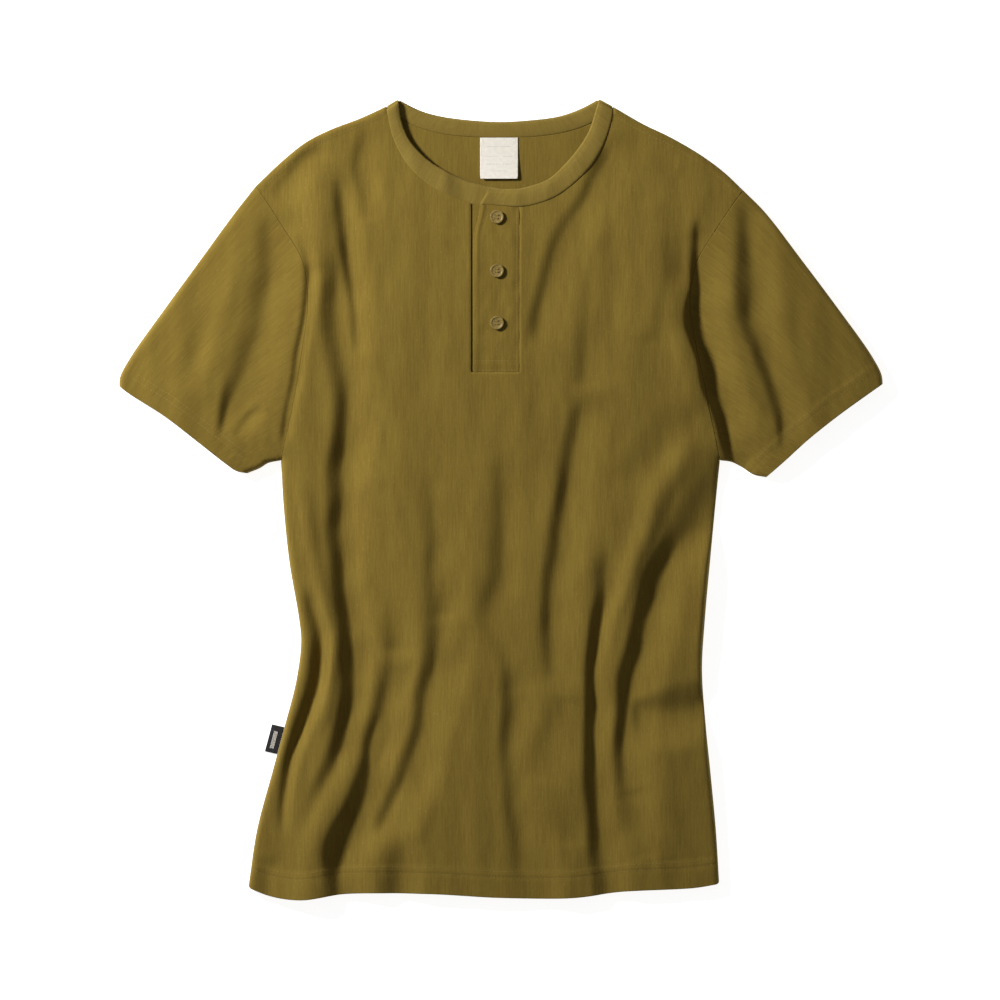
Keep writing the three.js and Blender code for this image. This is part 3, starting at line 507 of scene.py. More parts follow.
def closed_wall(name, x, y, top, low, keep=None, bulge=BULGE):
    """A wall of cloth over a grid in plan, with a rounded edge all round."""
    count = x.size
    faces = quads(np.arange(count).reshape(x.shape))
    faces = faces[keep] if keep is not None else faces.reshape(-1, 4)
    a, b = faces.ravel(), faces[:, [1, 2, 3, 0]].ravel()
    open_edge = ~np.isin(a * count + b, b * count + a)
    a, b = a[open_edge], b[open_edge]
    plan = np.column_stack([x.ravel(), y.ravel()])
    way = units(plan[b] - plan[a])
    out = np.zeros_like(plan)
    for ends in (a, b):
        np.add.at(out, ends, np.column_stack([way[:, 1], -way[:, 0]]))
    size = np.linalg.norm(out, axis=1)
    ring = np.flatnonzero(size > 1e-9)
    out[ring] /= size[ring, None]
    bulge = np.broadcast_to(bulge, x.shape).ravel()[ring][:, None]
    inner = plan.copy()
    inner[ring] -= bulge * out[ring]
    top, low = np.ravel(top), np.ravel(low)
    middle, half = (top[ring] + low[ring]) / 2, (top[ring] - low[ring]) / 2
    layers, flats = [np.column_stack([inner, top]), np.column_stack([inner, low])], [plan, plan]
    place = np.full(count, -1)
    place[ring] = np.arange(len(ring))
    chain = [np.arange(count)]
    for k, angle in enumerate(ROUND):
        layers.append(np.column_stack([inner[ring] + bulge * math.cos(angle) * out[ring],
                                       middle + half * math.sin(angle)]))
        flats.append(plan[ring])
        chain.append(2 * count + k * len(ring) + place)
    chain.append(count + np.arange(count))
    rim = [np.column_stack([one[b], one[a], two[a], two[b]]) for one, two in zip(chain, chain[1:])]
    faces = [faces, faces[:, ::-1] + count, *rim]
    return new_mesh(name, np.vstack(layers), faces, np.vstack(flats))


def volume_of(points, faces):
    """Six times the volume that quads enclose, below zero where they face in."""
    p = points[faces]
    return (np.einsum("ij,ij->i", p[:, 0], np.cross(p[:, 1], p[:, 2]))
            + np.einsum("ij,ij->i", p[:, 0], np.cross(p[:, 2], p[:, 3]))).sum()


def closed_tube(name, outer, inner, uv, bulges):
    """A walled tube through loops of points, with rounded edges at both its open ends."""
    rings, count = outer.shape[:2]
    ids = np.arange(rings * count).reshape(rings, count)
    ids = np.column_stack([ids, ids[:, 0]])
    size = rings * count
    layers, flats = [outer.copy(), inner.copy()], [uv, uv]
    rims, rim_faces = [], []
    for end, step, bulge in ((0, 1, bulges[0]), (rings - 1, -1, bulges[1])):
        out = units(outer[end] - outer[end + step])
        for layer in layers:
            layer[end] -= bulge * out
        high, low = layers[0][end], layers[1][end]
        chain = [ids[end]]
        for angle in ROUND:
            chain.append(2 * size + len(rims) * count + np.arange(count + 1) % count)
            rims.append((high + low) / 2 + (high - low) / 2 * math.sin(angle)
                        + bulge * math.cos(angle) * out)
            flats.append(uv[end])
        chain.append(size + ids[end])
        for one, two in zip(chain, chain[1:]):
            rim_faces.append(np.column_stack([one[1:], one[:-1], two[:-1], two[1:]])[:, ::step])
    points = np.vstack([*(layer.reshape(-1, 3) for layer in layers), *rims])
    grid = quads(ids).reshape(-1, 4)
    faces = [grid, grid[:, ::-1] + size, *rim_faces]
    if volume_of(points, np.vstack(faces)) < 0:
        faces = [f[:, ::-1] for f in faces]
    return new_mesh(name, points, faces, np.vstack([f.reshape(-1, 2) for f in flats]))


# Places of the grid lines near an edge, closer together where it is sewn or turned
EDGE_STEPS = (0, 0.7, 1.6, 2.8, 4.4, 6.4)
HEM_STEPS = (0, 0.7, 1.6, 3.2, 5.6, 8.4, 11.2, 13.8, 15.8, 17, 17.9, 18.8, 20, 21.6, 22.7, 23.5,
             24.3, 25.4, 27.2)
SLEEVE_STEPS = (0, 2, 2.9, 4.2, 6, 8.4)
CUFF_STEPS = (0, 0.7, 1.6, 3.4, 6, 8.8, 11.2, 12.6, 13.5, 14.4, 15.8, 17.4, 18.4, 19.3, 20.4,
              22.4)
LABEL_STEPS = (0, 0.5, 1.2)


def graded(length, step, start=(0,), end=(0,)):
    """Places from 0 to length, close together at the ends as listed and then in even steps."""
    low, high = start[-1], length - end[-1]
    middle = np.linspace(low, high, max(2, round((high - low) / step) + 1))
    return np.concatenate([start[:-1], middle, length - np.array(end[::-1][1:])])


def shares(length, step, start=(0,), end=(0,)):
    """The places of graded, from 0 to 1."""
    return graded(length, step, start, end) / length


def spread(low, high, count):
    """Even places that draw together towards both ends."""
    t = np.linspace(0, 1, count + 1)
    return low + (high - low) * (t + (1 - np.cos(np.pi * t)) / 2) / 2


def body_side(hand):
    """Reads the edge of a body panel, up its side and its armhole, at a height."""
    side, arm = reader("side_" + hand, 1, 0), reader("armhole_" + hand, 1, 0)
    corner = EDGES["armhole_" + hand][0][1]
    return lambda y: np.where(y < corner, side(y), arm(y) - OUTWARD[hand] * SEAM)


def panel_grid(neck, step):
    """The plan grid of a body panel: its columns climb from the hem to the top edge."""
    side = shares(SIDE_LENGTH, step, HEM_STEPS)
    arm = shares(ARMHOLE_LENGTH, step, (0,), EDGE_STEPS)
    climbs = []
    for corner, armhole in ((corner_left, "armhole_left"), (corner_right, "armhole_right")):
        arm_foot, arm_head = EDGES[armhole][0][1], EDGES[armhole][-1][1]
        heights = np.concatenate([corner[1] + side * (arm_foot - corner[1]),
                                  arm_foot + arm[1:] * (arm_head - arm_foot)])
        climbs.append((heights - heights[0]) / (heights[-1] - heights[0]))
    tops = np.concatenate([
        tip_left[0] + graded(neck_left[0] - tip_left[0], step, EDGE_STEPS),
        spread(neck_left[0], neck_right[0], round((neck_right[0] - neck_left[0]) / step))[1:],
        neck_right[0] + graded(tip_right[0] - neck_right[0], step, (0,), EDGE_STEPS)[1:]])
    left, right = body_side("left"), body_side("right")
    shoulders = [reader("shoulder_" + hand, 0, 1) for hand in OUTWARD]
    top_edge = reader(neck, 0, 1)
    u = (tops - tip_left[0]) / (tip_right[0] - tip_left[0])

    def place(y):
        return left(y) + (right(y) - left(y)) * u

    def top_at(x):
        return np.where(x < neck_left[0], shoulders[0](x),
                        np.where(x > neck_right[0], shoulders[1](x), top_edge(x)))

    foot, head = np.full(len(u), corner_left[1]), top_at(tops)
    for _ in range(8):
        foot, head = hem_at(place(foot)), top_at(place(head))
    share = climbs[0][:, None] * (1 - u) + climbs[1][:, None] * u
    blur = np.hanning(25) / np.hanning(25).sum()
    level = np.convolve(np.pad(head, 12, "edge"), blur, "valid")
    y = foot + (level + (head - level) * smoothstep(share, 0.84, 1) - foot) * share
    x = place(y)
    up = y - hem_at(x)
    for side, sign in ((left, 1), (right, -1)):
        a, b = (1 - np.clip(away / HEM_CORNER, 0, 1) for away in (sign * (x - side(y)), up))
        x = x + sign * HEM_CORNER * a * (1 - np.sqrt(1 - b * b / 2))
        y = y + HEM_CORNER * b * (1 - np.sqrt(1 - a * a / 2))
    return x, y


def front_panel():
    """The front, cut open at the slit."""
    x, y = panel_grid("front_neck", 2.6)
    # The grid's lines are drawn onto the slit's edges, so that it is cut along them.
    middle = x.shape[1] // 2
    row = int(np.argmin(np.abs(y[:, middle] - SLIT_FOOT)))
    shift_y = (SLIT_FOOT - y[row]) * (1 - smoothstep(np.abs(x[row] + 5), 24, 56))
    y = y + shift_y * np.exp(-((np.arange(len(y)) - row) / 5.0) ** 2)[:, None]
    above = row + 30
    columns = [int(np.argmin(np.abs(x[above] - edge))) for edge in (SLIT_LEFT, SLIT_RIGHT)]
    number = np.arange(x.shape[1])
    up = smoothstep(y[:, middle], SLIT_FOOT - 30, SLIT_FOOT - 6)[:, None]
    shift = np.zeros_like(x)
    for column, edge in zip(columns, (SLIT_LEFT, SLIT_RIGHT)):
        pull = (edge - x[:, [column]]) * up
        shift += pull * np.clip(1 - np.abs(number - column) / (columns[1] - columns[0]), 0, 1)
    # Each column's own pull is exact, because the other's has run out there.
    x = x + shift
    keep = np.ones((x.shape[0] - 1, x.shape[1] - 1), bool)
    keep[row:, columns[0]:columns[1]] = False
    sewn = (y > SLIT_FOOT - 0.5) & (x > SLIT_LEFT + 0.5) & (x < SLIT_RIGHT + 0.5)
    left_arm = (x < EDGES["armhole_left"][3][0]) & (y > EDGES["armhole_left"][0][1] + 1)
    left_neck = (x > neck_left[0] + 1) & (x < SLIT_LEFT) & (y > SLIT_FOOT + 100)
    bulge = np.where(sewn | left_neck, SEWN_BULGE["slit"],
                     np.where(left_arm, SEWN_BULGE["left"], BULGE))
    return closed_wall("front_cloth", x, y, front_top(x, y), under(x, y), keep, bulge)


def back_panel():
    x, y = panel_grid("back_neck", 4.2)
    top = KNIT + np.clip(0.10 * waves(x, y, 40, 90, 11), -0.15, 0.15)
    neck = (y > 300) & (np.abs(x + 1) < 98)
    return closed_wall("back_cloth", x, y, top, lower_rows(y - hem_at(x), HEM_ROWS), None,
                       np.where(neck, SEWN_BULGE["neck"], BULGE))


def sleeve_panel(hand):
    """A sleeve as a flattened tube, folded at its top and sewn at the underarm."""
    armhole, cuff = EDGES["armhole_" + hand], CURVES["cuff_" + hand]
    low, high = CURVES["underarm_" + hand], CURVES["sleeve_top_" + hand]
    across = shares(ARMHOLE_LENGTH, 2.4, SLEEVE_STEPS, SLEEVE_STEPS)
    along = shares(SLEEVE_LENGTH, 2.6, EDGE_STEPS, CUFF_STEPS)

    def at(line, share):
        run = run_of(line)
        return np.column_stack([np.interp(share * run[-1], run, line[:, k]) for k in (0, 1)])

    heights = armhole[0][1] + across * (armhole[-1][1] - armhole[0][1])
    arm = np.column_stack([reader("armhole_" + hand, 1, 0)(heights) + OUTWARD[hand] * SEAM,
                           heights])
    end, foot, head = at(cuff, across), at(low, along), at(high, along)
    s, t = along[:, None, None], across[None, :, None]
    ruled = arm[None] * (1 - s) + end[None] * s
    rails = foot[:, None] * (1 - t) + head[:, None] * t
    plain = (foot[0] * (1 - s) + foot[-1] * s) * (1 - t) + (head[0] * (1 - s) + head[-1] * s) * t
    plan = ruled + rails - plain

    x, y = plan[..., 0], plan[..., 1]
    away, _, place = nearest(spaced(cuff, 40), x, y)
    top = over(x, y) + turned_edge(away, place * CUFF_LENGTH, CUFF_ROWS, 0.14)

    edges, starts = (plan[:, 0], plan[:, -1]), []
    for edge, second in zip(edges, (plan[:, 1], plan[:, -2])):
        step = second - edge
        starts.append(edge + step * (FOLD_IN / np.linalg.norm(step, axis=1))[:, None])
    turns = np.radians([67.5, 45, 22.5, 0, -22.5, -45, -67.5])

    def loop(high, low, reach):
        """Over the upper side, round the top fold, back below and round the underarm."""
        low = np.broadcast_to(low, high.shape)
        upper = np.dstack([plan[:, 1:-1], high[:, 1:-1]])
        lower = np.dstack([plan[:, -2:0:-1], low[:, -2:0:-1]])
        parts = []
        for edge, start, column in zip(edges, starts, (1, -2)):
            middle = (high[:, column] + low[:, column]) / 2
            half = middle - low[:, column]
            bend = [np.column_stack([start + (edge - start) * (reach / FOLD_IN) * math.cos(a),
                                     middle + half * math.sin(a)]) for a in turns]
            parts.append(np.stack(bend, 1))
        return np.concatenate([upper, parts[1], lower, parts[0][:, ::-1]], 1)

    outer = loop(top, lower_rows(away, CUFF_ROWS), FOLD_IN)
    inner = loop(under(x, y), KNIT, FOLD_IN - KNIT)
    girth = run_of(outer[len(outer) // 2])
    length = along * SLEEVE_LENGTH
    uv = np.dstack(np.broadcast_arrays(girth[None, :], length[:, None]))
    return closed_tube(f"{hand}_sleeve_cloth", outer, inner, uv, (SEWN_BULGE[hand], BULGE))


# Neckband. It starts over the placket, runs round the wearer's left of the neck, turns under at
# the shoulder, crosses the back, comes up again and ends under its start.
def band_low(x, y):
    """Under side of the band where it lies on the front."""
    rise = lift(x, y)
    left = 1 - smoothstep(x, -60, 10)
    return KNIT + 2 * GAP + BAND_PROUD + rise - (0.6 + 0.5 * left) * smoothstep(rise, 0.5, 3)


ACROSS_TOP = np.linspace(0, 1, 15)
ACROSS_LOW = np.linspace(1, 0, 9)[1:-1]


def band_section(inner, seam, place, tuck=0.3):
    """One loop round the band. place puts a plan point at a height above the band's own back."""
    inner, seam = np.array(inner, float), np.array(seam, float)
    sewn = seam - (inner - seam) * (tuck / np.linalg.norm(inner - seam))
    loop = []
    for share, face in [(c, 1) for c in ACROSS_TOP] + [(c, 0) for c in ACROSS_LOW]:
        far = abs(2 * share - 1)
        square = BAND_SQUARE[0] if share < 0.5 else BAND_SQUARE[1]
        swell = math.sqrt(max(0, 1 - far ** square))
        crown = BAND_CROWN * (1 - far**2) - 0.3 * math.exp(
            -(((share - BAND_ROW) / BAND_ROW_WIDTH) ** 2))
        at = inner + (sewn - inner) * share
        loop.append(place(at, BAND / 2 + (face - 0.5) * BAND * swell, crown * face))
    return loop


def on_front(at, height, crown, sunk=0.0):
    low = float(band_low(*at))
    return (*at, low + height + crown * (1 - sunk) - (BAND + 2 * GAP) * sunk)


def sinking(at, height, crown):
    return on_front(at, height, crown, float(smoothstep(at[0], *BAND_SINK)))


back_seam_at = reader("back_neck", 0, 1)


def on_back(at, height, crown):
    # Here its inner face is up, so what shows is the band's own back. It thins out to its seam.
    seam = 1 - float(smoothstep(at[1] - back_seam_at(at[0]), 0, 7))
    return (*at, (BAND - height) * (1 - 0.36 * seam))


def band_turn(inner, seam, sign):
    """The loops of the half turn at a shoulder point, from above to below."""
    inner, seam = np.array(inner, float), np.array(seam, float)
    step = seam - inner
    width = np.linalg.norm(step)
    out = np.array([-step[1], step[0]]) * sign / width
    radius = (float(band_low(*seam)) + BAND) / 2
    sewn = seam - step / width * BAND_CORNER
    loops = []
    for angle in np.linspace(math.pi / 2, -math.pi / 2, 9):
        def place(at, height, crown, angle=angle):
            reach = radius - (BAND - height) + crown * max(0, math.sin(angle)) * 0.6
            plan = at - out * radius + out * math.cos(angle) * reach
            return (*plan, radius + math.sin(angle) * reach)
        loops.append(band_section(inner, sewn, place))
    return loops


def band_run(inner, seam, count, place, tuck):
    return [band_section(i, s, place, tuck)
            for i, s in zip(spaced(inner, count), spaced(seam, count))]


FRONT_NECK = CURVES["front_neck"]
NECK_BY_LEFT = FRONT_NECK[FRONT_NECK[:, 0] < SLIT_LEFT]
NECK_BY_RIGHT = FRONT_NECK[FRONT_NECK[:, 0] > SLIT_RIGHT]


def neckband():
    start_inner, start_seam = zip(*BAND_START)
    finish_inner, finish_seam = zip(*BAND_FINISH)
    stations = []
    for inner, seam, place, tuck in (
            ([start_inner, CURVES["band_right"]], [start_seam, NECK_BY_RIGHT], on_front, 0.3),
            ([CURVES["band_left"][::-1], finish_inner], [NECK_BY_LEFT, finish_seam], sinking, 0.9)):
        inner, seam = np.vstack(inner), np.vstack(seam)
        count = int(run_of(seam)[-1] / BAND_STEP)
        stations.append(band_run(inner, seam, count, place, tuck))
    behind = band_run(CURVES["band_back"], CURVES["back_neck"][::-1], 84, on_back, 0.9)
    points = np.array([
        *stations[0][:-1],
        *band_turn(EDGES["band_right"][-1], EDGES["shoulder_right"][0], 1),
        *behind[1:-1],
        *band_turn(EDGES["band_left"][-1], EDGES["shoulder_left"][-1], -1)[::-1],
        *stations[1][1:]])
    # Each end is rounded off by one smaller loop.
    for end, second in ((0, 1), (-1, -2)):
        middle = points[end].mean(0)
        away = points[end] - points[second]
        away = away.mean(0) / np.linalg.norm(away.mean(0))
        small = middle + (points[end] - middle) * np.array([0.97, 0.97, 0.45]) + away * 0.55
        points = np.concatenate([[small], points] if end == 0 else [points, [small]])
    sections, count = points.shape[:2]
    ids = np.arange(sections * count).reshape(sections, count)
    wrapped = np.column_stack([ids, ids[:, 0]])
    along = run_of(points.mean(1))
    around = run_of(points[20])
    uv = np.dstack(np.broadcast_arrays(along[:, None], around[None, :])).reshape(-1, 2)
    piece = new_mesh("neckband_cloth", points.reshape(-1, 3),
                     [quads(wrapped).reshape(-1, 4), ids[:1, ::-1], ids[-1:]], uv)
    face_out(piece)
    return piece


def face_out(piece):
    """Turns every face of a closed piece outwards."""
    bpy.ops.object.select_all(action="DESELECT")
    piece.select_set(True)
    bpy.context.view_layer.objects.active = piece
    bpy.ops.object.mode_set(mode="EDIT")
    bpy.ops.mesh.select_all(action="SELECT")
    bpy.ops.mesh.normals_make_consistent(inside=False)
    bpy.ops.object.mode_set(mode="OBJECT")


# Placket
BAND_SEAM = np.vstack([NECK_BY_LEFT, [seam for _, seam in BAND_START], NECK_BY_RIGHT])


def placket_left(y):
    """X of the upper strip's free edge."""
    foot, head, swing = PLACKET_CURVE
    return PLACKET_EDGE + swing * smoothstep(y, foot, head)


def placket_top(x, y):
    """Outer face of the upper strip: proud at its free edge, let in at its sewn edges."""
    sewn = np.minimum(SLIT_RIGHT - x, y - SLIT_FOOT)
    proud = smoothstep(sewn, 0.3, 8)
    edge = x - placket_left(y)
    roll = (0.25 + 0.45 * smoothstep(y, 175, 235)) * np.exp(-(((edge - 3.2) / 1.3) ** 2))
    level = (1 - proud) * (over(x, y) + 0.04) + proud * (under(x, y) + 2.15)
    rows = (np.exp(-((y - SLIT_FOOT - BOX_ROW) ** 2))
            + np.exp(-(((edge - PLACKET_ROW) / 0.9) ** 2))
            + 0.5 * np.exp(-(((SLIT_RIGHT - x - PLACKET_SEAM_ROW) / 0.8) ** 2)))
    return level + roll - 0.22 * rows + 0.10 * waves(x, y, 14, 20, 21)


def strip_grid(left_at, step, right, foot):
    v = shares(STRIP_LENGTH, step, EDGE_STEPS, EDGE_STEPS)
    u = shares(STRIP_WIDTH, step, EDGE_STEPS, EDGE_STEPS)
    head = np.interp(SLIT_LEFT + (right - SLIT_LEFT) * u, BAND_SEAM[:, 0], BAND_SEAM[:, 1]) - SEAM
    y = foot + (head - foot) * v[:, None]
    left = left_at(y)
    return left + (right - left) * u, y


def placket_upper():
    x, y = strip_grid(placket_left, 1.7, SLIT_RIGHT + STRIP_LAP, SLIT_FOOT - STRIP_LAP)
    top = placket_top(x, y)
    sewn = (x > SLIT_RIGHT - 1) | (y < SLIT_FOOT + 1)
    return closed_wall("placket_top_cloth", x, y, top, top - STRIP,
                       bulge=np.where(sewn, SEWN_BULGE["strip"], 0.3))


def placket_lower():
    x, y = strip_grid(lambda y: np.full(y.shape, SLIT_LEFT + 0.1), 3.0, SLIT_RIGHT - GAP,
                      SLIT_FOOT + GAP)
    sewn = np.minimum(SLIT_RIGHT - x, y - SLIT_FOOT)
    top = under(x, y) + 0.15 + 0.15 * smoothstep(sewn, 0.5, 3)
    return closed_wall("placket_under_cloth", x, y, top, under(x, y) - 0.1, bulge=0.05)


# Stitching. A stitch is modelled once, and every row is made of copies of it.
def stitch_pattern():
    bpy.ops.object.select_all(action="DESELECT")
    bpy.ops.mesh.primitive_uv_sphere_add(segments=6, ring_count=5, radius=1)
    bead = bpy.context.object
    bpy.ops.object.mode_set(mode="EDIT")
    bpy.ops.mesh.select_all(action="SELECT")
    bpy.ops.transform.rotate(value=math.pi / 2, orient_axis="Y", center_override=(0, 0, 0))
    bpy.ops.object.mode_set(mode="OBJECT")
    points = np.array([v.co for v in bead.data.vertices])
    # A sphere's faces come in another order in each run, so they are sorted.
    faces = sorted(list(p.vertices) for p in bead.data.polygons)
    bpy.data.objects.remove(bead)
    return points, faces


BEAD_POINTS, BEAD_FACES = stitch_pattern()


def stitching(name, pairs, radius=0.24):
    """One piece of many stitches, each a short thread from its first to its second point."""
    first, second = (np.array([pair[k] for pair in pairs], float) for k in (0, 1))
    way = units(second - first)
    side = units(np.cross([0, 0, 1.0], way))
    up = np.cross(way, side)
    bead = BEAD_POINTS * radius
    offset = (bead[None, :, 0, None] * way[:, None] + bead[None, :, 1, None] * side[:, None]
              + bead[None, :, 2, None] * up[:, None])
    ends = np.where(bead[None, :, 0, None] > 0, second[:, None], first[:, None])
    points = (ends + offset).reshape(-1, 3)
    count = len(bead)
    faces = [[v + k * count for v in face] for k in range(len(first)) for face in BEAD_FACES]
    mesh = bpy.data.meshes.new(name)
    mesh.from_pydata((points * MM).tolist(), [], faces)
    mesh.polygons.foreach_set("use_smooth", np.ones(len(faces), bool))
    mesh.update()
    piece = add_object(name, mesh)
    face_out(piece)
    return piece


def row_of(line, height_at, pitch=3.2, length=2.3, sink=-0.08):
    """Stitches along a plan line, lying on the cloth under them."""
    line = np.asarray(line, float)
    run = run_of(line)
    middles = np.arange(pitch / 2, run[-1], pitch)
    ends = []
    for shift in (-length / 2, length / 2):
        at = np.clip(middles + shift, 0, run[-1])
        x, y = (np.interp(at, run, line[:, k]) for k in (0, 1))
        ends.append(np.column_stack([x, y, height_at(x, y) + sink]))
    return list(zip(*ends))


def rows_of(lines, height_at, **settings):
    return [stitch for line in lines for stitch in row_of(line, height_at, **settings)]


def offset_line(line, away):
    """The plan line moved sideways: to its left as it runs where away is above zero."""
    line = spaced(line, 160)
    way = units(np.gradient(line, axis=0))
    return line + away * np.column_stack([-way[:, 1], way[:, 0]])


def trimmed(line, ends):
    """The line without this much of it at each end."""
    run = run_of(line)
    return line[(run > ends) & (run < run[-1] - ends)]


# Buttons
def button_shape():
    """A button with a dished face and four holes, its back at the origin."""
    middle = BUTTON_THICK / 2 * MM
    bpy.ops.object.select_all(action="DESELECT")
    bpy.ops.mesh.primitive_cylinder_add(vertices=48, radius=BUTTON_RADIUS * MM,
                                        depth=BUTTON_THICK * MM, location=(0, 0, middle))
    button = bpy.context.object
    bpy.ops.object.mode_set(mode="EDIT")
    bpy.ops.mesh.select_mode(type="FACE")
    bpy.ops.mesh.select_all(action="DESELECT")
    bpy.ops.object.mode_set(mode="OBJECT")
    for face in button.data.polygons:
        face.select = face.normal.z > 0.9
    bpy.ops.object.mode_set(mode="EDIT")
    bpy.ops.mesh.inset(thickness=1.2 * MM)
    bpy.ops.mesh.inset(thickness=0.7 * MM)
    bpy.ops.transform.translate(value=(0, 0, -0.45 * MM))
    bpy.ops.object.mode_set(mode="OBJECT")
    soft = button.modifiers.new("soft edges", "BEVEL")
    soft.width, soft.segments, soft.limit_method, soft.angle_limit = 0.32 * MM, 3, "ANGLE", 0.5
    bpy.ops.object.modifier_apply(modifier=soft.name)
    for right, up in ((1, 1), (1, -1), (-1, 1), (-1, -1)):
        bpy.ops.object.select_all(action="DESELECT")
        bpy.ops.mesh.primitive_cylinder_add(
            vertices=20, radius=HOLE_RADIUS * MM, depth=8 * MM,
            location=(HOLE_AT * right * MM, HOLE_AT * up * MM, middle))
        drill = bpy.context.object
        bpy.context.view_layer.objects.active = button
        cut = button.modifiers.new("hole", "BOOLEAN")
        cut.operation, cut.object, cut.solver = "DIFFERENCE", drill, "EXACT"
        bpy.ops.object.modifier_apply(modifier=cut.name)
        bpy.data.objects.remove(drill)
    bpy.ops.object.select_all(action="DESELECT")
    button.select_set(True)
    bpy.ops.object.transform_apply(location=True, rotation=True, scale=True)
    bpy.ops.object.shade_smooth_by_angle(angle=math.radians(35))
    return button


def button_place(y):
    """Middle of a button's back and the axes of its tilt, on the upper strip."""
    reach = 5.0
    turn = np.linspace(0, 2 * np.pi, 25)
    x0, y0 = np.array([BUTTON_X]), np.array([y])
    sx = float((placket_top(x0 + reach, y0) - placket_top(x0 - reach, y0))[0]) / (2 * reach)
    sy = float((placket_top(x0, y0 + reach) - placket_top(x0, y0 - reach))[0]) / (2 * reach)
    dx, dy = reach * np.cos(turn), reach * np.sin(turn)
    rise = placket_top(x0 + dx, y0 + dy) - placket_top(x0, y0) - sx * dx - sy * dy
    z = float(placket_top(x0, y0)[0]) + max(0.0, float(rise.max())) + 0.12
    up = np.array([-sx, -sy, 1.0])
    up /= np.linalg.norm(up)
    right = np.cross([0, 1.0, 0], up)
    right /= np.linalg.norm(right)
    return np.array([BUTTON_X, y, z]), right, np.cross(up, right), up


def sew_buttons():
    pattern = button_shape()
    made, threads = [], []
    for spin, (name, y) in enumerate(BUTTON_HEIGHTS.items()):
        middle, right, ahead, up = button_place(y)
        turn = 0.12 * (spin - 1)
        right, ahead = (math.cos(turn) * right + math.sin(turn) * ahead,
                        math.cos(turn) * ahead - math.sin(turn) * right)
        mesh = pattern.data.copy()
        points = np.array([v.co for v in mesh.vertices])
        placed = middle * MM + points @ np.array([right, ahead, up])
        mesh.vertices.foreach_set("co", placed.astype(np.float32).ravel())
        mesh.update()
        mesh.name = name
        made.append(add_object(name, mesh))
        for row in (HOLE_AT, -HOLE_AT):
            for lean in (-0.28, 0.28):
                ends = [middle + right * hole + ahead * (row + lean) + up * 2.1
                        for hole in (-HOLE_AT, HOLE_AT)]
                threads.append(tuple(ends))
                threads += [(end, end - up * 1.5) for end in ends]
    bpy.data.objects.remove(pattern)
    return made, stitching("button_threads", threads, radius=0.3)


# Labels
LABEL_LEFT, LABEL_RIGHT, LABEL_FOOT, LABEL_HEAD = -18.5, 15.0, 284.5, 321.0
TAG_REACH, TAG_THICK, TAG_BOW = 11.0, 1.0, 0.25


def label_low(x, y):
    fall = (LABEL_HEAD - y) / (LABEL_HEAD - LABEL_FOOT)
    return KNIT + GAP + 1.9 * fall**2 + 0.25 * np.sin((x - LABEL_LEFT) / 11) * fall


def neck_label():
    x, y = np.meshgrid(*(low + graded(high - low, 1.4, LABEL_STEPS, LABEL_STEPS)
                         for low, high in ((LABEL_LEFT, LABEL_RIGHT), (LABEL_FOOT, LABEL_HEAD))))
    # Its lower corners are a little rounded, and its cut sides draw in.
    middle = (LABEL_LEFT + LABEL_RIGHT) / 2
    x = x + (middle - x) * 0.03 * np.exp(-((y - LABEL_FOOT) / 1.6) ** 2)
    low = label_low(x, y)
    return closed_wall("neck_label_tape", x, y, low + 0.55, low, bulge=0.25)


def label_marks():
    """Plain woven dashes, where a label carries its size and care lines."""
    pairs = []
    rows = ((313.0, -12, 8.5, 1.0), (304.5, -14, -4, 0.8), (304.5, 1, 10.5, 0.8),
            (297.5, -13, -1, 1.3), (297.5, 1.5, 9.5, 1.3), (291.5, -7, 4, 0.9))
    for y, start, end, dash in rows:
        at = np.arange(start, end, dash + 0.8)
        z = label_low(at, np.full(len(at), y)) + 0.5
        pairs += [((x, y, h), (x + dash, y, h)) for x, h in zip(at, z)]
    return stitching("neck_label_marks", pairs, radius=0.2)


side_at = reader("side_left", 1, 0)


def tape_place(share, y):
    """Plan point and under side of the side label, from the seam, 0, to its outer fold, 1."""
    edge = side_at(y) - 0.1
    return edge - TAG_REACH * share, y + 2.5 * share, 0.9 * (1 - share)


def side_label():
    share, y = np.meshgrid(graded(11, 0.8, (0,), (0, 0.3, 0.8)) / 11,
                           -224.5 + graded(24, 1.2, (0, 0.4, 1), (0, 0.4, 1)))
    x, up, low = tape_place(share[:, ::-1], y)
    bow = TAG_BOW * np.sin(np.pi * share[:, ::-1])
    return closed_wall("side_label_tape", x, up, low + TAG_THICK + bow, low, bulge=0.35)


def side_label_bar():
    pairs = []
    for share in np.linspace(0.42, 0.66, 4):
        for y in np.arange(-220.5, -205.5, 1.5):
            x, up, low = tape_place(share, y)
            z = low + TAG_THICK + TAG_BOW * math.sin(math.pi * share) + 0.02
            x2, up2, _ = tape_place(share, y + 1.1)
            pairs.append(((x, up, z), (x2, up2, z)))
    return stitching("side_label_bar", pairs, radius=0.28)


# Finishes
def linear(hex_colour):
    parts = [int(hex_colour[i:i + 2], 16) / 255 for i in (1, 3, 5)]
    return tuple(c / 12.92 if c <= 0.04045 else ((c + 0.055) / 1.055) ** 2.4 for c in parts) + (1,)


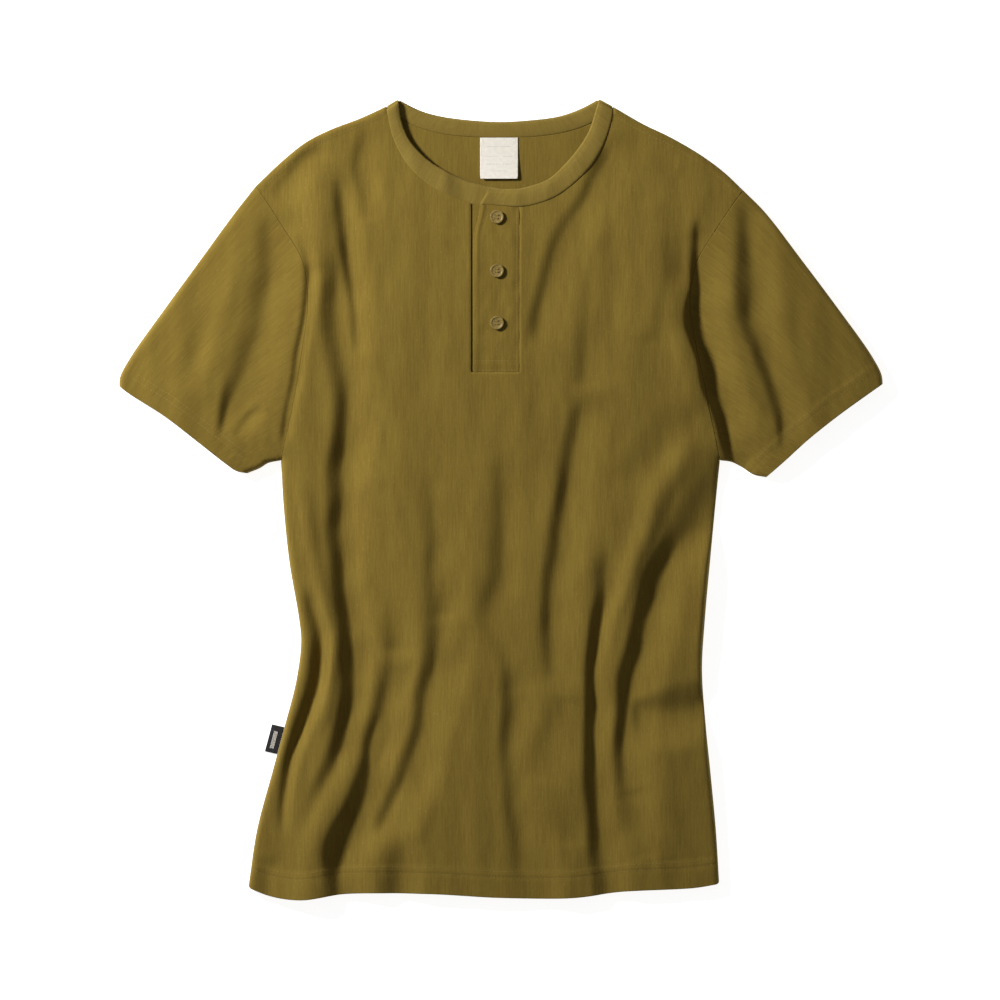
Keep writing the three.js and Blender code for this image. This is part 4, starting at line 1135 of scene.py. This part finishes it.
class Finish:
    """A material whose nodes are added one by one."""

    def __init__(self, name, roughness, specular, sheen=0.0, sheen_colour="#ffffff"):
        self.material = bpy.data.materials.new(name)
        self.material.use_nodes = True
        self.nodes, self.links = self.material.node_tree.nodes, self.material.node_tree.links
        self.shader = self.nodes["Principled BSDF"]
        self.shader.inputs["Roughness"].default_value = roughness
        self.shader.inputs["Specular IOR Level"].default_value = specular
        if sheen:
            self.shader.inputs["Sheen Weight"].default_value = sheen
            self.shader.inputs["Sheen Roughness"].default_value = 0.55
            self.shader.inputs["Sheen Tint"].default_value = linear(sheen_colour)

    def node(self, kind, inputs=(), **settings):
        node = self.nodes.new(kind)
        for key, value in settings.items():
            setattr(node, key, value)
        for key, value in dict(inputs).items():
            if isinstance(value, bpy.types.NodeSocket):
                self.links.new(value, node.inputs[key])
            else:
                node.inputs[key].default_value = value
        return node

    def math(self, operation, a, b=0.0):
        return self.node("ShaderNodeMath", {0: a, 1: b}, operation=operation).outputs[0]

    def times(self, place, factors):
        return self.node("ShaderNodeVectorMath", {0: place, 1: factors},
                         operation="MULTIPLY").outputs[0]

    def noise(self, place, across, along, detail=2.0):
        """Noise whose grains are this many millimetres across and along the cloth."""
        scaled = self.times(place, (1 / across, 1 / along, 1 / across))
        return self.node("ShaderNodeTexNoise", {"Vector": scaled, "Scale": 1.0, "Detail": detail,
                                                "Roughness": 0.5}).outputs["Fac"]

    def ramp(self, value, low, high, to_low=0.0, to_high=1.0):
        return self.node("ShaderNodeMapRange", {"Value": value, "From Min": low, "From Max": high,
                                                "To Min": to_low, "To Max": to_high},
                         interpolation_type="SMOOTHSTEP").outputs["Result"]

    def blend(self, share, a, b, kind="MIX"):
        mix = self.node("ShaderNodeMix", data_type="RGBA", blend_type=kind)
        for socket, value in zip((mix.inputs[0], mix.inputs[6], mix.inputs[7]), (share, a, b)):
            if isinstance(value, bpy.types.NodeSocket):
                self.links.new(value, socket)
            else:
                socket.default_value = value
        return mix.outputs[2]

    def millimetres(self, uv=True):
        """The place on the flat cloth, or in the piece where it has none."""
        source = (self.node("ShaderNodeUVMap", uv_map="cloth").outputs[0] if uv
                  else self.node("ShaderNodeTexCoord").outputs["Object"])
        return self.times(source, (1000, 1000, 1000))

    def close(self, colour, height, distance):
        """Joins the colour and the relief, this deep in metres, to the shader."""
        self.links.new(colour, self.shader.inputs["Base Color"])
        bump = self.node("ShaderNodeBump", {"Height": height, "Distance": distance,
                                            "Strength": 1.0})
        self.links.new(bump.outputs[0], self.shader.inputs["Normal"])
        return self.material


def knit_finish(name, dark, light, pale, wale=1.25, course=0.95, relief=0.16):
    """Slub jersey: loops in wales, uneven yarn in long streaks, and pale flecks of raw fibre."""
    cloth = Finish(name, 0.93, 0.16, sheen=0.22, sheen_colour="#b9a86a")
    place = cloth.millimetres()
    wander = cloth.noise(place, 9, 16)
    parts = cloth.node("ShaderNodeSeparateXYZ", {0: place})
    across = cloth.math("ADD", parts.outputs[0], cloth.math("MULTIPLY", wander, 2.2))
    up = parts.outputs[1]
    lean = cloth.math("ABSOLUTE", cloth.math("SUBTRACT", cloth.math(
        "FRACT", cloth.math("DIVIDE", across, wale)), 0.5))
    turns = cloth.math("ADD", cloth.math("DIVIDE", up, course), lean)
    loop = cloth.math("SINE", cloth.math("MULTIPLY", turns, 2 * math.pi))
    groove = cloth.ramp(lean, 0.30, 0.5, 0.0, 1.0)
    loops = cloth.math("SUBTRACT", cloth.math("MULTIPLY", loop, 0.22),
                       cloth.math("MULTIPLY", groove, 0.5))
    streak = cloth.noise(place, 1.5, 22, detail=3)
    fine = cloth.noise(place, 0.8, 5, detail=2)
    soft = cloth.noise(place, 22, 60, detail=1)
    fleck = cloth.ramp(cloth.noise(place, 1.1, 2.6, detail=1), 0.66, 0.74)
    tone = cloth.math("ADD", cloth.math("MULTIPLY", streak, 0.5), cloth.math("ADD", cloth.math(
        "MULTIPLY", fine, 0.25), cloth.math("MULTIPLY", soft, 0.35)))
    colour = cloth.blend(cloth.ramp(tone, 0.30, 0.80), linear(dark), linear(light))
    colour = cloth.blend(cloth.math("MULTIPLY", fleck, 0.22), colour, linear(pale))
    # Painted shade: the grooves and troughs between the loops are darkened in the colour, as well
    # as sunk by the bump.
    painted_loop_shade = cloth.ramp(loops, -0.7, 0.2, 0.86, 1.03)
    colour = cloth.blend(1.0, colour, cloth.node("ShaderNodeCombineColor", {
        0: painted_loop_shade, 1: painted_loop_shade, 2: painted_loop_shade}).outputs[0], "MULTIPLY")
    uneven = cloth.math("ADD", cloth.math("MULTIPLY", streak, 0.6),
                        cloth.math("MULTIPLY", fine, 0.4))
    height = cloth.math("ADD", loops, uneven)
    return cloth.close(colour, height, relief * MM)


def thread_finish(name, dark, light):
    thread = Finish(name, 0.7, 0.25, sheen=0.15, sheen_colour="#d8caa0")
    place = thread.millimetres(uv=False)
    twist = thread.noise(place, 0.35, 0.35, detail=2)
    return thread.close(thread.blend(thread.ramp(twist, 0.3, 0.7), linear(dark), linear(light)),
                        twist, 0.05 * MM)


def horn_finish():
    horn = Finish("horn_button", 0.42, 0.32)
    place = horn.millimetres(uv=False)
    cloud = horn.noise(place, 2.6, 1.2, detail=4)
    grain = horn.noise(place, 0.25, 3.0, detail=2)
    colour = horn.blend(horn.ramp(cloud, 0.35, 0.65), linear("#77642e"), linear("#907c4a"))
    colour = horn.blend(horn.ramp(grain, 0.55, 0.8, 0, 0.25), colour, linear("#675729"))
    return horn.close(colour, cloud, 0.02 * MM)


def tape_finish(name, dark, light):
    """Woven label tape: a fine plain weave."""
    tape = Finish(name, 0.75, 0.3, sheen=0.1)
    place = tape.millimetres()
    parts = tape.node("ShaderNodeSeparateXYZ", {0: place})
    warp = tape.math("SINE", tape.math("MULTIPLY", parts.outputs[0], 2 * math.pi / 0.42))
    weft = tape.math("SINE", tape.math("MULTIPLY", parts.outputs[1], 2 * math.pi / 0.36))
    weave = tape.math("MULTIPLY", warp, weft)
    soft = tape.noise(place, 3, 3, detail=3)
    tone = tape.math("ADD", tape.math("MULTIPLY", weave, 0.2), soft)
    return tape.close(tape.blend(tape.ramp(tone, 0.2, 0.8), linear(dark), linear(light)),
                      weave, 0.05 * MM)


knit = knit_finish("olive_slub_knit", "#725d24", "#84702e", "#a8955a", relief=0.10)
rib = knit_finish("olive_neck_rib", "#7b672c", "#8c7838", "#ae9b63", wale=1.0, course=0.8,
                  relief=0.10)
thread = thread_finish("olive_thread", "#7b672c", "#9a8546")
white_tape = tape_finish("white_label_tape", "#efeae0", "#fbf8f1")
black_tape = tape_finish("black_label_tape", "#17171a", "#29292d")
grey_thread = thread_finish("grey_label_thread", "#b9b6ae", "#cfccc4")
pale_thread = thread_finish("pale_label_thread", "#d9d7d0", "#f1efe9")
horn = horn_finish()

# Pieces
front = front_panel()
back = back_panel()
sleeves = {hand: sleeve_panel(hand) for hand in OUTWARD}
band = neckband()
upper_strip = placket_upper()
lower_strip = placket_lower()
buttons, button_threads = sew_buttons()
label, marks = neck_label(), label_marks()
tag, tag_bar = side_label(), side_label_bar()


def table_side(x, y):
    """Height of the stitches on the lower side, which lies on the table."""
    return np.full(np.shape(x), 0.3)


def cuff_top(hand):
    """Reads the height of a sleeve under its rows of stitches."""
    cuff = spaced(CURVES["cuff_" + hand], 40)

    def top_at(x, y):
        away, _, along = nearest(cuff, x, y)
        return over(x, y) + turned_edge(away, along, CUFF_ROWS, 0.14)

    return top_at


hem_lines = [trimmed(CURVES["hem"] + (0, away), 3) for away in HEM_ROWS]
shoulder_lines = [trimmed(offset_line(CURVES["shoulder_" + hand], -SHOULDER_ROW), 4)
                  for hand in OUTWARD]
front_stitches = stitching("front_stitching", rows_of(hem_lines + shoulder_lines, front_top))
back_stitches = stitching("back_stitching", rows_of(hem_lines, table_side, sink=0))

sleeve_stitches = {}
for hand, sign in OUTWARD.items():
    rows = []
    for away in CUFF_ROWS:
        line = trimmed(offset_line(CURVES["cuff_" + hand], sign * away), 5)
        rows += row_of(line, cuff_top(hand)) + row_of(line, table_side, sink=0)
    sleeve_stitches[hand] = stitching(f"{hand}_sleeve_stitching", rows)

edge_y = np.linspace(124, 256, 60)
right_x, foot_y = SLIT_RIGHT - PLACKET_SEAM_ROW, SLIT_FOOT + FOOT_ROW
foot_line = np.array([(PLACKET_EDGE + 1.5, foot_y), (SLIT_RIGHT - 2, foot_y)])
placket_lines = [np.column_stack([placket_left(edge_y) + PLACKET_ROW, edge_y]),
                 [(right_x, 116), (right_x, 255)],
                 foot_line, foot_line + (0, BOX_ROW - FOOT_ROW)]
placket_stitches = stitching("placket_stitching", rows_of(
    [spaced(line, 60) for line in placket_lines], placket_top, pitch=2.9, length=2.1))

# What each piece is to the frame
table = [
    (front, "knit", ["front_panel"], knit), (back, "knit", ["back_panel"], knit),
    (sleeves["left"], "knit", ["sleeve_left"], knit),
    (sleeves["right"], "knit", ["sleeve_right"], knit), (band, "knit", ["neckband"], rib),
    (upper_strip, "knit", ["placket_top"], knit), (lower_strip, "knit", ["placket_under"], knit),
    *[(piece, "button", [BUTTON_NODES[piece.name]], horn) for piece in buttons],
    (button_threads, "button", [], thread), (label, "neck_label", ["neck_label"], white_tape),
    (marks, "neck_label", [], grey_thread), (tag, "side_label", ["side_label"], black_tape),
    (tag_bar, "side_label", [], pale_thread), (front_stitches, "knit", [], thread),
    (back_stitches, "knit", [], thread), (sleeve_stitches["left"], "knit", [], thread),
    (sleeve_stitches["right"], "knit", [], thread), (placket_stitches, "knit", [], thread),
]
for piece, slot, nodes, material in table:
    piece.data.materials.clear()
    piece.data.materials.append(material)
    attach(piece, "root")
    if nodes:
        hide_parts(*nodes)

# Table, light and camera, in metres
bpy.ops.object.select_all(action="DESELECT")
bpy.ops.mesh.primitive_plane_add(size=6, location=(0, 0, -0.0003))
floor = bpy.context.object
floor.name = "table_top"
paper = Finish("white_table", 0.9, 0.1)
paper.shader.inputs["Base Color"].default_value = (0.86, 0.86, 0.86, 1)
paper.shader.inputs["Emission Color"].default_value = (1, 1, 1, 1)
paper.shader.inputs["Emission Strength"].default_value = 0.86
floor.data.materials.append(paper.material)

scene = bpy.context.scene
scene.view_settings.view_transform = "Standard"
scene.world = bpy.data.worlds.new("studio")
scene.world.use_nodes = True
scene.world.node_tree.nodes["Background"].inputs[0].default_value = (1, 0.995, 0.98, 1)
scene.world.node_tree.nodes["Background"].inputs[1].default_value = 0.145

# The key light comes from the upper left.
KEY_ELEVATION, KEY_BEARING, KEY_AWAY = math.radians(30), math.radians(146), 2.2
key = add_object("key_light", bpy.data.lights.new("key_light", "AREA"))
key.data.shape, key.data.size = "DISK", 0.38
key.data.energy = 68
key.data.color = (1, 0.975, 0.93)
towards = Vector((math.cos(KEY_BEARING) * math.cos(KEY_ELEVATION),
                  math.sin(KEY_BEARING) * math.cos(KEY_ELEVATION), math.sin(KEY_ELEVATION)))
key.location = towards * KEY_AWAY
key.rotation_euler = towards.to_track_quat("Z", "Y").to_euler()

# The camera looks straight down, and its picture is as wide as VIEW at the height of the cloth.
SENSOR, CAMERA_HEIGHT, CLOTH_HEIGHT, VIEW = 36, 8, 0.008, 0.884
camera = add_object("camera", bpy.data.cameras.new("camera"))
camera.data.lens = SENSOR * (CAMERA_HEIGHT - CLOTH_HEIGHT) / VIEW
camera.location = (-0.9 * MM, 0.4 * MM, CAMERA_HEIGHT)
scene.camera = camera
